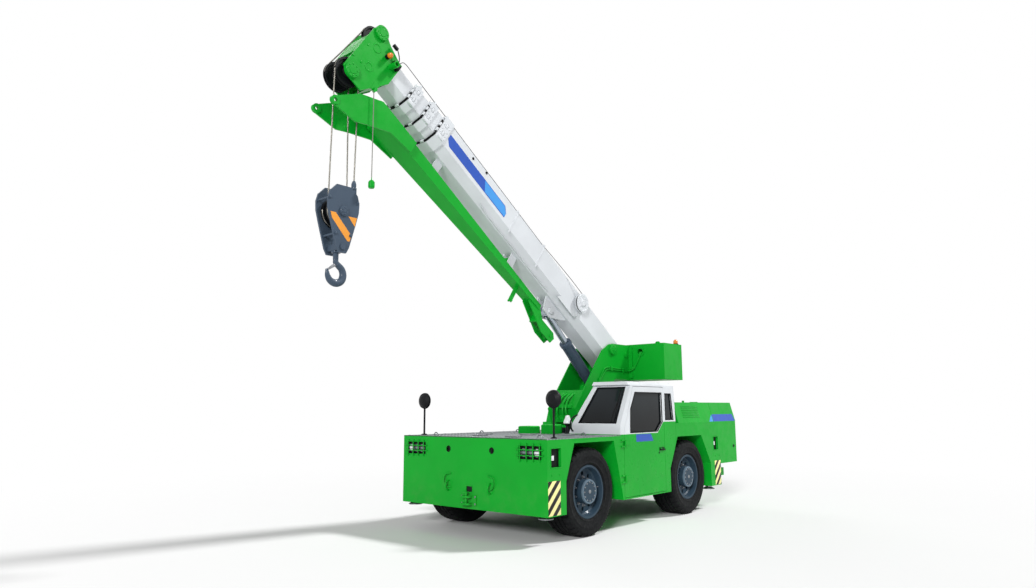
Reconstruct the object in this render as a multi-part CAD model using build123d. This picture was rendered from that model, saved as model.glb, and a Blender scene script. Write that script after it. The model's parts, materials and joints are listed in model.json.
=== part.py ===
from build123d import *
from math import atan2, cos, degrees, hypot, pi, radians, sin
import os

# Carry-deck mobile crane, modelled whole at its real size in millimetres.
# Front of the vehicle is -Y, its left (cab) side is +X and up is +Z.
# The layout is worked out about a point on the ground midway between the axles.
# Every piece is then moved back by ORIGIN_SHIFT, which puts the origin under the middle of the crane.

# Fits shared by all pieces
SEAT = 0.3
RUN = 6.0
ORIGIN_SHIFT = 830.0

# Chassis
BODY_HALF = 1233.0
PLATE = 8.0
AXLE_Y = 1271.0
FRONT_FACE_Y = -2177.0
TAIL_Y = 2832.0
DECK_Z = 1195.0
DECK_PLATE = 8.0
BELLY_Z = 378.0
FRONT_BELLY_Z = 328.0
ARCH_TOP_Z = 1133.0
FRONT_ARCH_FRONT_Y = -1824.0
FRONT_ARCH_REAR_Y = -602.0
FRONT_ARCH_CROWN = (-1656.0, -804.0)
REAR_ARCH_FRONT_Y = 634.0
REAR_ARCH_REAR_Y = 1896.0
REAR_ARCH_CROWN = (870.0, 1608.0)
ARCH_KNEE_Z = 700.0
ARCH_INNER_X = 580.0
ARCH_LINER_ROOM = 60.0
REAR_CORNER_Y = 2233.0
REAR_TOP_Z = 1325.0
TAIL_BELLY_Z = 675.0
FRAME_HALF = 380.0
FRAME_PLATE = 15.0
FRAME_OVER_AXLE_Z = 780.0
FRAME_BELLY_Z = 450.0
FRAME_TOP_Z = 1180.0
ENGINE_BAY_Z = 1050.0

# Wheels and steering
TYRE_R = 536.0
TYRE_WIDTH = 385.0
TYRE_BEAD_R = 300.0
WHEEL_X = 990.0
RIM_WALL = 14.0
RIM_DISC_X = 60.0
RIM_HOLES = 10
RIM_HOLE_R = 26.0
HUB_CAP_R = 147.0
HUB_BORE_R = 60.0
SPINDLE_FIT = 0.05
KINGPIN_X = 940.0
KINGPIN_R = 28.0
AXLE_TUBE_R = 88.0
AXLE_BALL_R = 190.0

# Slewing ring and turret
SLEW_Y = 150.0
RING_R = 385.0
RING_BORE_R = 300.0
RING_H = 72.0
RING_TEETH = 60
PEDESTAL_R = 372.0
TURRET_OUTER = 250.0
TURRET_PLATE = 20.0
TURRET_TOP_Z = 2530.0
COUNTERWEIGHT_HALF = 870.0
COUNTERWEIGHT_Y = (1205.0, 1810.0)
COUNTERWEIGHT_Z = (1980.0, 2540.0)
DRUM_Y = 1092.0
DRUM_Z = 2370.0
DRUM_R = 60.0
DRUM_FLANGE_R = 92.0

# Boom, measured along it (s) and square to it (n) from its pivot
PIVOT_Y = 710.0
PIVOT_Z = 2440.0
BOOM_ANGLE = 34.5
BOOM_HALF = 220.0
BOOM_N = (-230.0, 206.0)
BOOM_CHAMFER = 100.0
BOOM_WALL = 10.0
BOOM_REAR_S = -180.0
BOOM_FRONT_S = 4450.0
COLLAR_LENGTH = 150.0
COLLAR_GROWTH = 18.0
STAGE_STEP = 20.0
STAGE_REAR_S = (350.0, 550.0, 750.0)
STAGE_FRONT_S = (4700.0, 4970.0, 5262.0)
PAD_LENGTH = 90.0
PIVOT_PIN_R = 55.0

# Boom head
HEAD_PLATE_OUT = 180.0
HEAD_PLATE = 18.0
HEAD_BOSS_OUT = 200.0
HEAD_BOSS_R = 92.0
LOWER_AXLE = (5680.0, -497.0)
UPPER_AXLE = (5687.0, 222.0)
LOWER_SHEAVE_R = 170.0
UPPER_SHEAVE_R = 140.0
SHEAVE_X = 95.0
SHEAVE_WIDTH = 44.0
AXLE_PIN_R = 32.0

# Lift cylinder
LIFT_PIN_Y = 575.0
LIFT_PIN_Z = 1830.0
LIFT_EYE = (1380.0, -360.0)
LIFT_BARREL_R = 90.0
LIFT_BARREL_LENGTH = 1010.0
LIFT_ROD_R = 52.0
LIFT_PIN_R = 40.0
GUSSET_INNER = 62.0
GUSSET_PLATE = 22.0

# Hook block and rope
ROPE_R = 8.0
BLOCK_SHEAVE_DROP = 1592.0
BLOCK_TOP_DROP = 1310.0
BLOCK_BOTTOM_DROP = 2050.0
BLOCK_PLATE_X = 120.0
BLOCK_PLATE = 26.0
BLOCK_SHEAVE_R = 165.0
HOOK_DROP = 2410.0
STOP_WEIGHT_LINK = (5355.0, -470.0)
STOP_WEIGHT_X = 216.0
STOP_WEIGHT_DROP = 1130.0
LINK_PIN_R = 6.0

# Cab
CAB_INNER_X = 400.0
CAB_LEAN_X = 660.0
CAB_ROOF_Z = 1900.0
CAB_WALL = 30.0
DOOR_THICK = 45.0
DOOR_GAP = 6.0
HINGE_PIN_R = 7.0
HINGE_WALL = 5.0
HINGE_Z = (640.0, 1090.0)
GLASS = 6.0

# Outriggers
JACK_FRONT = (1110.0, -2060.0)
JACK_REAR = (1090.0, 2065.0)
JACK_HOUSING_R = 72.0
JACK_LEG_R = 50.0
JACK_FIT = 0.5
FLOAT_R = 92.0
FLOAT_Z = 292.0

# Placing helpers
def put(node, shape):
    os.makedirs("parts", exist_ok=True)
    export_step(Pos(0, ORIGIN_SHIFT, 0) * shape, "parts/" + node + ".step")


def outline(points):
    return make_face(Polyline(*points, close=True))


def across(points, x0, x1):
    """A (y, z) outline as a solid that runs from x0 to x1."""
    return Pos(x0, 0, 0) * extrude(Plane.YZ * outline(points), amount=x1 - x0, dir=(1, 0, 0))


def lengthwise(points, y0, y1):
    """An (x, z) outline as a solid that runs from y0 to y1."""
    return Pos(0, y0, 0) * extrude(Plane.XZ * outline(points), amount=y1 - y0, dir=(0, 1, 0))


def upright(points, z0, z1):
    """An (x, y) outline as a solid that runs from z0 to z1."""
    return Pos(0, 0, z0) * extrude(outline(points), amount=z1 - z0, dir=(0, 0, 1))


def block(x0, x1, y0, y1, z0, z1):
    centre = Pos((x0 + x1) / 2, (y0 + y1) / 2, (z0 + z1) / 2)
    return centre * Box(abs(x1 - x0), abs(y1 - y0), abs(z1 - z0))


def x_pin(x0, x1, y, z, r):
    return Pos((x0 + x1) / 2, y, z) * Rot(0, 90, 0) * Cylinder(r, abs(x1 - x0))


def y_pin(y0, y1, x, z, r):
    return Pos(x, (y0 + y1) / 2, z) * Rot(90, 0, 0) * Cylinder(r, abs(y1 - y0))


def z_pin(z0, z1, x, y, r):
    return Pos(x, y, (z0 + z1) / 2) * Cylinder(r, abs(z1 - z0))


def turned_x(profile):
    """A profile of (x, radius) points turned about the X axis."""
    face = outline([(x, r) for x, r in profile])
    return revolve(face, axis=Axis.X, revolution_arc=360)


def turned_z(profile):
    """A profile of (radius, z) points turned about the Z axis."""
    face = Plane.XZ * outline([(r, z) for r, z in profile])
    return revolve(face, axis=Axis.Z, revolution_arc=360)


def both(shape):
    return shape + mirror(shape, Plane.YZ)


# Chassis frame
def frame_outline(inset):
    """Side view of the backbone, stepped up over both axles."""
    low = FRAME_BELLY_Z + inset
    over = FRAME_OVER_AXLE_Z + inset
    front = FRONT_FACE_Y + PLATE + SEAT + inset
    rear = TAIL_Y - PLATE - SEAT - inset
    reach = 330.0
    slope = 130.0
    return [
        (front, low + 60),
        (-AXLE_Y - reach - slope, low + 60),
        (-AXLE_Y - reach, over),
        (-AXLE_Y + reach, over),
        (-AXLE_Y + reach + slope, low),
        (AXLE_Y - reach - slope, low),
        (AXLE_Y - reach, over),
        (AXLE_Y + reach, over),
        (rear, over),
        (rear, ENGINE_BAY_Z - inset),
        (826.0 - inset, ENGINE_BAY_Z - inset),
        (796.0 - inset, FRAME_TOP_Z - inset),
        (front, FRAME_TOP_Z - inset),
    ]


def main_frame():
    box = across(frame_outline(0), -FRAME_HALF, FRAME_HALF)
    inside = across(frame_outline(FRAME_PLATE), -FRAME_HALF + FRAME_PLATE, FRAME_HALF - FRAME_PLATE)
    frame = box - inside
    bulkhead_ys = (-1930.0, -860.0, SLEW_Y - PEDESTAL_R, SLEW_Y + PEDESTAL_R, 900.0, 1750.0, 2350.0)
    for y in bulkhead_ys:
        web = block(-FRAME_HALF, FRAME_HALF, y - FRAME_PLATE / 2, y + FRAME_PLATE / 2, 0, DECK_Z)
        frame += (web & box) - y_pin(y - 20, y + 20, 0, (FRAME_OVER_AXLE_Z + ENGINE_BAY_Z) / 2, 90)
    for y in (-1500.0, -400.0, 500.0, 2050.0):
        frame -= block(-120, 120, y - 160, y + 160, 300, FRAME_OVER_AXLE_Z + FRAME_PLATE + 5)
    pedestal = z_pin(FRAME_TOP_Z - FRAME_PLATE, DECK_Z + 5, 0, SLEW_Y, PEDESTAL_R)
    frame += pedestal
    frame -= z_pin(FRAME_TOP_Z - 100, DECK_Z + 20, 0, SLEW_Y, RING_BORE_R - 30)
    return frame


# Wheel arches
def front_arch(grow=0.0, room=0.0):
    y0, y1 = FRONT_ARCH_CROWN
    return [
        (FRONT_ARCH_FRONT_Y - grow - room, 0),
        (FRONT_ARCH_FRONT_Y - grow - room, ARCH_KNEE_Z + grow / 2),
        (y0 - grow / 2 - room, ARCH_TOP_Z + grow),
        (y1 + grow / 2, ARCH_TOP_Z + grow),
        (FRONT_ARCH_REAR_Y + grow, BELLY_Z),
        (FRONT_ARCH_REAR_Y + grow, 0),
    ]


def rear_arch(grow=0.0):
    y0, y1 = REAR_ARCH_CROWN
    return [
        (REAR_ARCH_FRONT_Y - grow, 0),
        (REAR_ARCH_FRONT_Y - grow, ARCH_KNEE_Z),
        (y0 - grow / 2, ARCH_TOP_Z + grow),
        (y1 + grow / 2, ARCH_TOP_Z + grow),
        (REAR_ARCH_REAR_Y + grow, ARCH_KNEE_Z),
        (REAR_ARCH_REAR_Y + grow, 0),
    ]


def jack_housing(x, y, z0, z1):
    tube = z_pin(z0, z1, x, y, JACK_HOUSING_R) - z_pin(z0 - 1, z1 - PLATE, x, y, JACK_LEG_R + JACK_FIT)
    return tube


def front_body():
    top = DECK_Z - DECK_PLATE - SEAT
    front_edge, rear_edge = FRONT_ARCH_CROWN
    side = [
        (FRONT_FACE_Y, FRONT_BELLY_Z),
        (FRONT_ARCH_FRONT_Y, FRONT_BELLY_Z),
        (FRONT_ARCH_FRONT_Y, ARCH_KNEE_Z),
        (front_edge, ARCH_TOP_Z),
        (rear_edge - SEAT, ARCH_TOP_Z),
        (rear_edge - SEAT, top),
        (FRONT_FACE_Y, top),
    ]
    body = across(side, -BODY_HALF, BODY_HALF)
    inner = BODY_HALF - PLATE
    body -= block(-inner, inner, FRONT_FACE_Y + PLATE, 0, 0, DECK_Z)
    ahead = block(0, BODY_HALF, FRONT_FACE_Y, rear_edge - SEAT, BELLY_Z, top)
    liner = across(front_arch(PLATE, ARCH_LINER_ROOM), ARCH_INNER_X, inner)
    liner -= across(front_arch(0, ARCH_LINER_ROOM), ARCH_INNER_X, inner)
    wall = across(front_arch(PLATE, ARCH_LINER_ROOM), ARCH_INNER_X - PLATE, ARCH_INNER_X)
    wall -= block(0, BODY_HALF, -AXLE_Y - 330, -AXLE_Y + 330, 0, FRAME_OVER_AXLE_Z)
    bulkhead_y = FRONT_ARCH_FRONT_Y - ARCH_LINER_ROOM - PLATE
    bulkhead = block(FRAME_HALF + SEAT, ARCH_INNER_X, bulkhead_y, bulkhead_y + PLATE, 520, top)
    body += both((liner & ahead) + (wall & ahead) + bulkhead)
    body += both(front_corner_parts(inner))
    body -= both(front_corner_holes())
    for x in (-373.5, 373.5):
        body -= y_pin(FRONT_FACE_Y - 5, FRONT_FACE_Y + PLATE + 5, x, 1042.5, 30)
    body -= block(-50, 50, FRONT_FACE_Y - 5, FRONT_FACE_Y + PLATE + 5, 533, 598)
    for x in (-360, 360):
        ring = Pos(x, FRONT_FACE_Y, 590) * Rot(0, 90, 0) * Torus(60, 11)
        body += ring & block(x - 20, x + 20, FRONT_FACE_Y - 90, FRONT_FACE_Y + PLATE / 2, 500, 680)
    return body


def front_corner_parts(inner):
    """Jack housing, its webs and the two lamp trays of the left front corner."""
    x, y = JACK_FRONT
    housing = jack_housing(x, y, 372, 1150)
    web = block(x + JACK_HOUSING_R - 6, inner, y - 5, y + 5, 420, 860)
    web += block(x - 5, x + 5, FRONT_FACE_Y + PLATE, y - JACK_HOUSING_R + 6, 420, 940)
    lamp_tray = block(792, 1158, FRONT_FACE_Y + PLATE, FRONT_FACE_Y + 38, 952, 1123)
    side_tray = block(inner - 30, inner, -2114, -1914, 865, 1093)
    return housing + web + lamp_tray + side_tray


def front_corner_holes():
    lamp = block(800, 1150, FRONT_FACE_Y - 5, FRONT_FACE_Y + 34, 960, 1115)
    side = block(BODY_HALF - 34, BODY_HALF + 5, -2106, -1922, 873, 1085)
    return lamp + side


def deck():
    rear_y = 830 - SEAT
    cowl_y = -640 - SEAT
    cab_x = CAB_INNER_X - SEAT
    plan = [
        (-BODY_HALF, FRONT_FACE_Y),
        (BODY_HALF, FRONT_FACE_Y),
        (BODY_HALF, cowl_y),
        (cab_x, cowl_y),
        (cab_x, rear_y),
        (-BODY_HALF, rear_y),
    ]
    plate = upright(plan, DECK_Z - DECK_PLATE, DECK_Z)
    plate -= z_pin(DECK_Z - 20, DECK_Z + 20, 0, SLEW_Y, PEDESTAL_R + SEAT)
    for x, y in ((-900, -1900), (900, -1900), (-900, -1000), (900, -1000), (-900, -200), (-900, 600)):
        plate += block(x - 45, x + 45, y - 23, y + 23, DECK_Z - DECK_PLATE, DECK_Z + 3)
        ring = Pos(x, y, DECK_Z) * Rot(90, 0, 0) * Torus(34, 7)
        plate += ring & block(x - 50, x + 50, y - 20, y + 20, DECK_Z - 2, DECK_Z + 60)
    plate += chamfer_top(block(-350, -140, -830, -600, DECK_Z - 1, DECK_Z + 105), 12)
    plate += chamfer_top(block(40, 250, -800, -600, DECK_Z - 1, DECK_Z + 130), 12)
    return plate


def chamfer_top(solid, size):
    """Chamfers the edges round a block's top face."""
    return chamfer(solid.faces().sort_by(Axis.Z)[-1].edges(), size)


def side_tank():
    """Closed tank between the right wheels, with two steps cut into it."""
    top = DECK_Z - DECK_PLATE - SEAT
    slope = FRONT_ARCH_CROWN[1]
    points = [
        (FRONT_ARCH_REAR_Y, BELLY_Z),
        (slope, ARCH_TOP_Z),
        (slope, top),
        (830 - SEAT, top),
        (830 - SEAT, 1059),
        (REAR_ARCH_FRONT_Y, ARCH_KNEE_Z),
        (REAR_ARCH_FRONT_Y, BELLY_Z),
    ]
    tank = across(points, -BODY_HALF, -FRAME_HALF - SEAT)
    for z in (480, 800):
        tank -= block(-BODY_HALF - 5, -BODY_HALF + 150, -330, 90, z, z + 210)
    rear_room = block(-BODY_HALF - 5, 0, 640, 900, 300, 1200)
    tank -= rear_room & across(rear_arch(0), -BODY_HALF - 5, 0)
    tank += x_pin(-BODY_HALF - 18, -BODY_HALF + 5, 430, 900, 55)
    return tank


def rear_body():
    y0, y1 = REAR_ARCH_CROWN
    front = 830.0
    rise = (ARCH_TOP_Z - ARCH_KNEE_Z) / (y0 - REAR_ARCH_FRONT_Y)
    side = [
        (front, ARCH_KNEE_Z + rise * (front - REAR_ARCH_FRONT_Y)),
        (y0, ARCH_TOP_Z),
        (y1, ARCH_TOP_Z),
        (REAR_ARCH_REAR_Y, ARCH_KNEE_Z),
        (REAR_ARCH_REAR_Y, FRONT_BELLY_Z + 25),
        (REAR_CORNER_Y, FRONT_BELLY_Z + 25),
        (REAR_CORNER_Y, TAIL_BELLY_Z),
        (TAIL_Y, TAIL_BELLY_Z),
        (TAIL_Y, REAR_TOP_Z),
        (front, REAR_TOP_Z),
    ]
    body = across(side, -BODY_HALF, BODY_HALF)
    inner = BODY_HALF - PLATE
    body -= block(-inner, inner, front + PLATE, TAIL_Y - PLATE, 0, REAR_TOP_Z + 5)
    behind = block(0, BODY_HALF, front, TAIL_Y, BELLY_Z, REAR_TOP_Z)
    liner = across(rear_arch(PLATE), ARCH_INNER_X, inner) - across(rear_arch(0), ARCH_INNER_X, inner)
    wall = across(rear_arch(PLATE), ARCH_INNER_X - PLATE, ARCH_INNER_X)
    wall -= block(0, BODY_HALF, AXLE_Y - 330, AXLE_Y + 330, 0, FRAME_OVER_AXLE_Z)
    bulkhead_y = REAR_ARCH_REAR_Y + PLATE
    bulkhead = block(FRAME_HALF + SEAT, ARCH_INNER_X, bulkhead_y, bulkhead_y + PLATE, 700, ENGINE_BAY_Z)
    link = block(ARCH_INNER_X - PLATE, inner, REAR_ARCH_REAR_Y, REAR_ARCH_REAR_Y + PLATE, 353, ENGINE_BAY_Z)
    corner_back = block(700, inner, REAR_CORNER_Y - PLATE, REAR_CORNER_Y, 353, TAIL_BELLY_Z + PLATE)
    floor = block(FRAME_HALF + SEAT, inner, REAR_CORNER_Y - PLATE, TAIL_Y - PLATE, TAIL_BELLY_Z, TAIL_BELLY_Z + PLATE)
    body += both((liner & behind) + (wall & behind) + bulkhead + link + corner_back + floor)
    x, y = JACK_REAR
    housing = jack_housing(x, y, 372, 1150)
    housing += block(x + JACK_HOUSING_R - 6, inner, y - 5, y + 5, 420, 1100)
    side_tray = block(inner - 30, inner, 2002, 2168, 887, 1101)
    body += both(housing + side_tray)
    body -= both(block(BODY_HALF - 34, BODY_HALF + 5, 2010, 2160, 895, 1093))
    for row in range(6):
        z = 1095 + 32 * row
        body -= block(-420, 420, TAIL_Y - PLATE - 5, TAIL_Y + 5, z, z + 14)
    for x in (-1080, 1080):
        body -= block(x - 90, x + 90, TAIL_Y - PLATE - 5, TAIL_Y + 5, 1130, 1230)
    return body


def engine():
    """Plain block of the power unit with its sump, fan housing and air cleaner."""
    seat_z = ENGINE_BAY_Z + SEAT
    unit = block(-270, 270, 1380, 2420, seat_z + 60, 1480)
    unit += block(-210, 210, 1480, 2300, seat_z, seat_z + 70)
    unit += block(-330, 330, 2440, 2500, seat_z, 1500) + block(-100, 100, 2410, 2450, 1150, 1400)
    unit += y_pin(1500, 2000, 420, 1330, 90) + block(250, 420, 1700, 1800, 1300, 1360)
    return unit


def engine_hood():
    """Rear lid of the engine cover, hinged across its front edge."""
    return hood_shell(HOOD_SPLIT_Y + RUN, TAIL_Y + 8, True)


def hood_front():
    """Fixed front half of the engine cover."""
    return hood_shell(917.0, HOOD_SPLIT_Y, False)


HOOD_SPLIT_Y = 2045.0
HOOD_TOP_Z = 1625.0
HOOD_TOP_HALF = 1150.0
HOOD_SHEET = 8.0


def hood_section(inset):
    base = REAR_TOP_Z + SEAT
    return [
        (-BODY_HALF + inset, base - (10 if inset else 0)),
        (-HOOD_TOP_HALF + inset, HOOD_TOP_Z - inset),
        (HOOD_TOP_HALF - inset, HOOD_TOP_Z - inset),
        (BODY_HALF - inset, base - (10 if inset else 0)),
    ]


def hood_shell(y0, y1, lid):
    shell = lengthwise(hood_section(0), y0, y1)
    inside_y0 = y0 + HOOD_SHEET if not lid else y0 - 5
    inside_y1 = y1 - HOOD_SHEET if lid else y1 + 5
    shell -= lengthwise(hood_section(HOOD_SHEET), inside_y0, inside_y1)
    middle = (y0 + y1) / 2
    for x in (-500, 500):
        lug = block(x - 6, x + 6, middle - 30, middle + 30, HOOD_TOP_Z - 2, HOOD_TOP_Z + 38)
        shell += lug - x_pin(x - 10, x + 10, middle, HOOD_TOP_Z + 18, 11)
    for x in (-700, 0, 700):
        rib_y = middle + 120
        rib = block(x - 260, x + 260, rib_y - 4, rib_y + 4, HOOD_TOP_Z - 45, HOOD_TOP_Z - HOOD_SHEET + 1)
        shell += rib
    if lid:
        for row in range(5):
            z = REAR_TOP_Z + 60 + 36 * row
            shell -= block(-420, 420, y1 - HOOD_SHEET - 5, y1 + 5, z, z + 16)
    return shell


# Axles, steering knuckles and wheels
AXLE_FORK_GAP = 94.0
AXLE_FORK_ARM = 36.0
AXLE_FORK_R = 45.0
KNUCKLE_R = 50.0
SPINDLE_IN = 62.0
RIM_HALF = 166.0
RIM_FLANGE_R = 320.0


def axle(y):
    """Live axle with its differential case, frame pads and a fork at each end."""
    z = TYRE_R
    fork_in = KINGPIN_X - 90
    case = [(-AXLE_BALL_R, 0), (-AXLE_BALL_R, 95), (-120, 165), (-40, AXLE_BALL_R)]
    case += [(x * -1, r) for x, r in reversed(case)]
    beam = Pos(0, y, z) * turned_x(case)
    beam += x_pin(-fork_in, fork_in, y, z, AXLE_TUBE_R)
    pad = block(230, 350, y - 95, y + 95, z, FRAME_OVER_AXLE_Z - SEAT)
    pad -= x_pin(220, 360, y - 95, z + 170, 55) + x_pin(220, 360, y + 95, z + 170, 55)
    fork_top = AXLE_FORK_GAP + RUN + AXLE_FORK_ARM
    fork = block(fork_in - 10, KINGPIN_X, y - AXLE_FORK_R, y + AXLE_FORK_R, z - fork_top, z + fork_top)
    fork += z_pin(z - fork_top, z + fork_top, KINGPIN_X, y, AXLE_FORK_R)
    room = AXLE_FORK_GAP + RUN
    fork -= block(fork_in + 20, KINGPIN_X + 80, y - 80, y + 80, z - room, z + room)
    pin = z_pin(z - fork_top - 8, z - room + 20, KINGPIN_X, y, KINGPIN_R)
    pin += z_pin(z + room - 20, z + fork_top + 8, KINGPIN_X, y, KINGPIN_R)
    return beam + both(pad + fork + pin)


def knuckle(y, arm_way):
    """Left knuckle: barrel on the kingpins, flange, spindle and steering arm."""
    z = TYRE_R
    barrel = z_pin(z - AXLE_FORK_GAP, z + AXLE_FORK_GAP, KINGPIN_X, y, KNUCKLE_R)
    for end in (-1, 1):
        inner = z + end * (AXLE_FORK_GAP - 16)
        barrel -= z_pin(inner, z + end * (AXLE_FORK_GAP + 10), KINGPIN_X, y, KINGPIN_R + SPINDLE_FIT)
    flange = x_pin(KINGPIN_X, KINGPIN_X + SPINDLE_IN, y, z, 44)
    flange += x_pin(KINGPIN_X + SPINDLE_IN - 8, KINGPIN_X + SPINDLE_IN + 10, y, z, 105)
    spindle = x_pin(KINGPIN_X + SPINDLE_IN, WHEEL_X + 130, y, z, HUB_BORE_R - SPINDLE_FIT)
    arm = block(KINGPIN_X - 46, KINGPIN_X - 14, y, y + arm_way * 165, z - 14, z + 14)
    arm += z_pin(z - 22, z + 22, KINGPIN_X - 30, y + arm_way * 165, 24)
    return barrel + flange + spindle + arm


def tyre(y):
    """Left tyre: round-shouldered carcass with four grooves round the tread."""
    half = TYRE_WIDTH / 2
    tread = [(-150, TYRE_R - 4), (-112, TYRE_R - 1)]
    for x in (-96, -34, 34, 96):
        tread += [(x - 7, TYRE_R - 1), (x - 5, TYRE_R - 16), (x + 5, TYRE_R - 16), (x + 7, TYRE_R - 1)]
    tread += [(112, TYRE_R - 1), (150, TYRE_R - 4)]
    bead = RIM_HALF - 9
    right = [(178, TYRE_R - 26), (half - 4, TYRE_R - 70), (half, 430), (half - 8, 375), (bead, 322)]
    left = [(-x, r) for x, r in reversed(right)]
    inner = [(bead - 4, TYRE_BEAD_R + SEAT), (-bead + 4, TYRE_BEAD_R + SEAT)]
    return Pos(WHEEL_X, y, TYRE_R) * turned_x(left + tread + right + inner)


def rim(y):
    """Left rim: flanged barrel, deep disc with hand holes and the planetary hub."""
    barrel_in = TYRE_BEAD_R - RIM_WALL
    disc = RIM_DISC_X
    hub_out = TYRE_WIDTH / 2 - 8
    bore_end = WHEEL_X + 130 + RUN - WHEEL_X
    profile = [
        (-RIM_HALF, barrel_in),
        (-RIM_HALF, RIM_FLANGE_R),
        (-RIM_HALF + 8, RIM_FLANGE_R),
        (-RIM_HALF + 8, TYRE_BEAD_R),
        (RIM_HALF - 8, TYRE_BEAD_R),
        (RIM_HALF - 8, RIM_FLANGE_R),
        (RIM_HALF, RIM_FLANGE_R),
        (RIM_HALF, barrel_in + 6),
        (disc + 30, barrel_in - 8),
        (disc + 14, barrel_in - 26),
        (disc + 14, HUB_CAP_R),
        (hub_out - 14, HUB_CAP_R),
        (hub_out, HUB_CAP_R - 22),
        (hub_out, 0),
        (bore_end, 0),
        (bore_end, HUB_BORE_R),
        (disc - 34, HUB_BORE_R),
        (disc - 34, 118),
        (disc, 132),
        (disc, barrel_in - 30),
        (disc - 20, barrel_in),
    ]
    wheel = turned_x(profile)
    for i in range(RIM_HOLES):
        turn = 360 / RIM_HOLES * i
        wheel -= Rot(turn, 0, 0) * x_pin(disc - 60, disc + 60, 0, 215, RIM_HOLE_R)
    return Pos(WHEEL_X, y, TYRE_R) * wheel


# Outriggers
def outrigger(x, y):
    """Jack leg with its float, drawn up under the body."""
    leg = z_pin(FLOAT_Z + 30, 1112, x, y, JACK_LEG_R)
    cup = turned_z([(0, 0), (FLOAT_R, 0), (FLOAT_R, 9), (FLOAT_R - 26, 22), (38, 34), (38, 42), (0, 42)])
    return leg + Pos(x, y, FLOAT_Z) * cup


# Cab
CAB_REAR_Y = 824.0
COWL_Y = -640.0
SILL_Z = 1329.0
SHIELD_TOP = (-375.0, 1842.0)
DOOR_Y = (-548.0, 490.0)
DOOR_Z = (402.0, 1832.0)


def cab_lower(inset):
    rear_slope = (ARCH_TOP_Z - ARCH_KNEE_Z) / (REAR_ARCH_CROWN[0] - REAR_ARCH_FRONT_Y)
    rear = CAB_REAR_Y - inset
    knee_rise = ARCH_KNEE_Z + rear_slope * (rear - REAR_ARCH_FRONT_Y + inset * 1.1)
    return [
        (FRONT_ARCH_REAR_Y + inset, BELLY_Z + inset),
        (FRONT_ARCH_CROWN[1] + inset * 1.1, ARCH_TOP_Z),
        (FRONT_ARCH_CROWN[1] + inset * 1.1, DECK_Z - DECK_PLATE - SEAT - inset),
        (rear, DECK_Z - DECK_PLATE - SEAT - inset),
        (rear, knee_rise),
        (REAR_ARCH_FRONT_Y - inset, ARCH_KNEE_Z),
        (REAR_ARCH_FRONT_Y - inset, BELLY_Z + inset),
    ]


def cab_upper(inset):
    visor = 0 if inset else 45
    return [
        (COWL_Y + inset, DECK_Z - 60),
        (COWL_Y + inset, SILL_Z),
        (SHIELD_TOP[0] + inset, SHIELD_TOP[1]),
        (SHIELD_TOP[0] + inset - visor, SHIELD_TOP[1] + 12),
        (SHIELD_TOP[0] + inset - visor + 16, CAB_ROOF_Z - inset),
        (715.0 - inset, CAB_ROOF_Z - inset),
        (790.0 - inset, CAB_ROOF_Z - 28 - inset / 2),
        (CAB_REAR_Y - inset, 1336.0),
        (CAB_REAR_Y - inset, DECK_Z - 60),
    ]


def cab_front_view(inset):
    low = DECK_Z - DECK_PLATE - SEAT
    return [
        (FRAME_HALF + SEAT + inset, BELLY_Z - 10),
        (FRAME_HALF + SEAT + inset, low),
        (CAB_INNER_X + inset, low),
        (CAB_INNER_X + inset, DECK_Z),
        (CAB_LEAN_X + inset, CAB_ROOF_Z - inset),
        (BODY_HALF - 40 - inset, CAB_ROOF_Z - inset),
        (BODY_HALF - inset, CAB_ROOF_Z - 45 - inset),
        (BODY_HALF - inset, BELLY_Z - 10),
    ]


def cab_bulk(inset):
    inner_x = FRAME_HALF + SEAT
    sides = across(cab_lower(inset), inner_x, BODY_HALF) + across(cab_upper(inset), inner_x, BODY_HALF)
    return sides & lengthwise(cab_front_view(inset), -1000, 1000)


def door_outline(gap=0.0):
    y0, y1 = DOOR_Y
    z0, z1 = DOOR_Z
    lean = (z1 - SILL_Z) * (SHIELD_TOP[0] - COWL_Y) / (SHIELD_TOP[1] - SILL_Z)
    return [
        (y0 - 22 - gap, z0 - gap),
        (y0 - gap, SILL_Z - 90),
        (y0 + lean - 20 - gap, z1 + gap),
        (y1 + gap, z1 + gap),
        (y1 + gap, z0 - gap),
    ]


def door_window(grow=0.0):
    return [
        (-408 - grow, 1216 - grow),
        (-392 - grow, 1536),
        (-270 - grow, 1760 + grow),
        (444 + grow, 1760 + grow),
        (453 + grow, 1349 - grow),
        (308 + grow, 1218 - grow),
    ]


def quarter_window(grow=0.0):
    return [
        (525 - grow, 1372 - grow),
        (525 - grow, 1750 + grow),
        (709 + grow, 1750 + grow),
        (765 + grow, 1372 - grow),
    ]


def shield_view(grow=0.0):
    return [
        (552 - grow, SILL_Z + 14 - grow),
        (712 - grow, SHIELD_TOP[1] - 16 + grow),
        (1165 + grow, SHIELD_TOP[1] - 16 + grow),
        (1165 + grow, SILL_Z + 14 - grow),
    ]


def rear_view(grow=0.0):
    return [
        (600 - grow, 1420 - grow),
        (712 - grow, 1800 + grow),
        (1150 + grow, 1800 + grow),
        (1150 + grow, 1420 - grow),
    ]


def inner_side_window(grow=0.0):
    return [
        (-380 - grow, 1380 - grow),
        (-230 - grow, 1780 + grow),
        (640 + grow, 1780 + grow),
        (690 + grow, 1380 - grow),
    ]


def cab_cuts(grow=0.0):
    """Prisms through the windscreen, rear, quarter and inner side windows."""
    screen = lengthwise(shield_view(grow), -700, -320)
    rear = lengthwise(rear_view(grow), 740, 860)
    quarter = across(quarter_window(grow), BODY_HALF - 60, BODY_HALF + 10)
    inner = across(inner_side_window(grow), CAB_INNER_X, 720)
    return screen, rear, quarter, inner


def hinge_axis():
    return BODY_HALF + 13, DOOR_Y[0] - DOOR_GAP / 2


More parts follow.
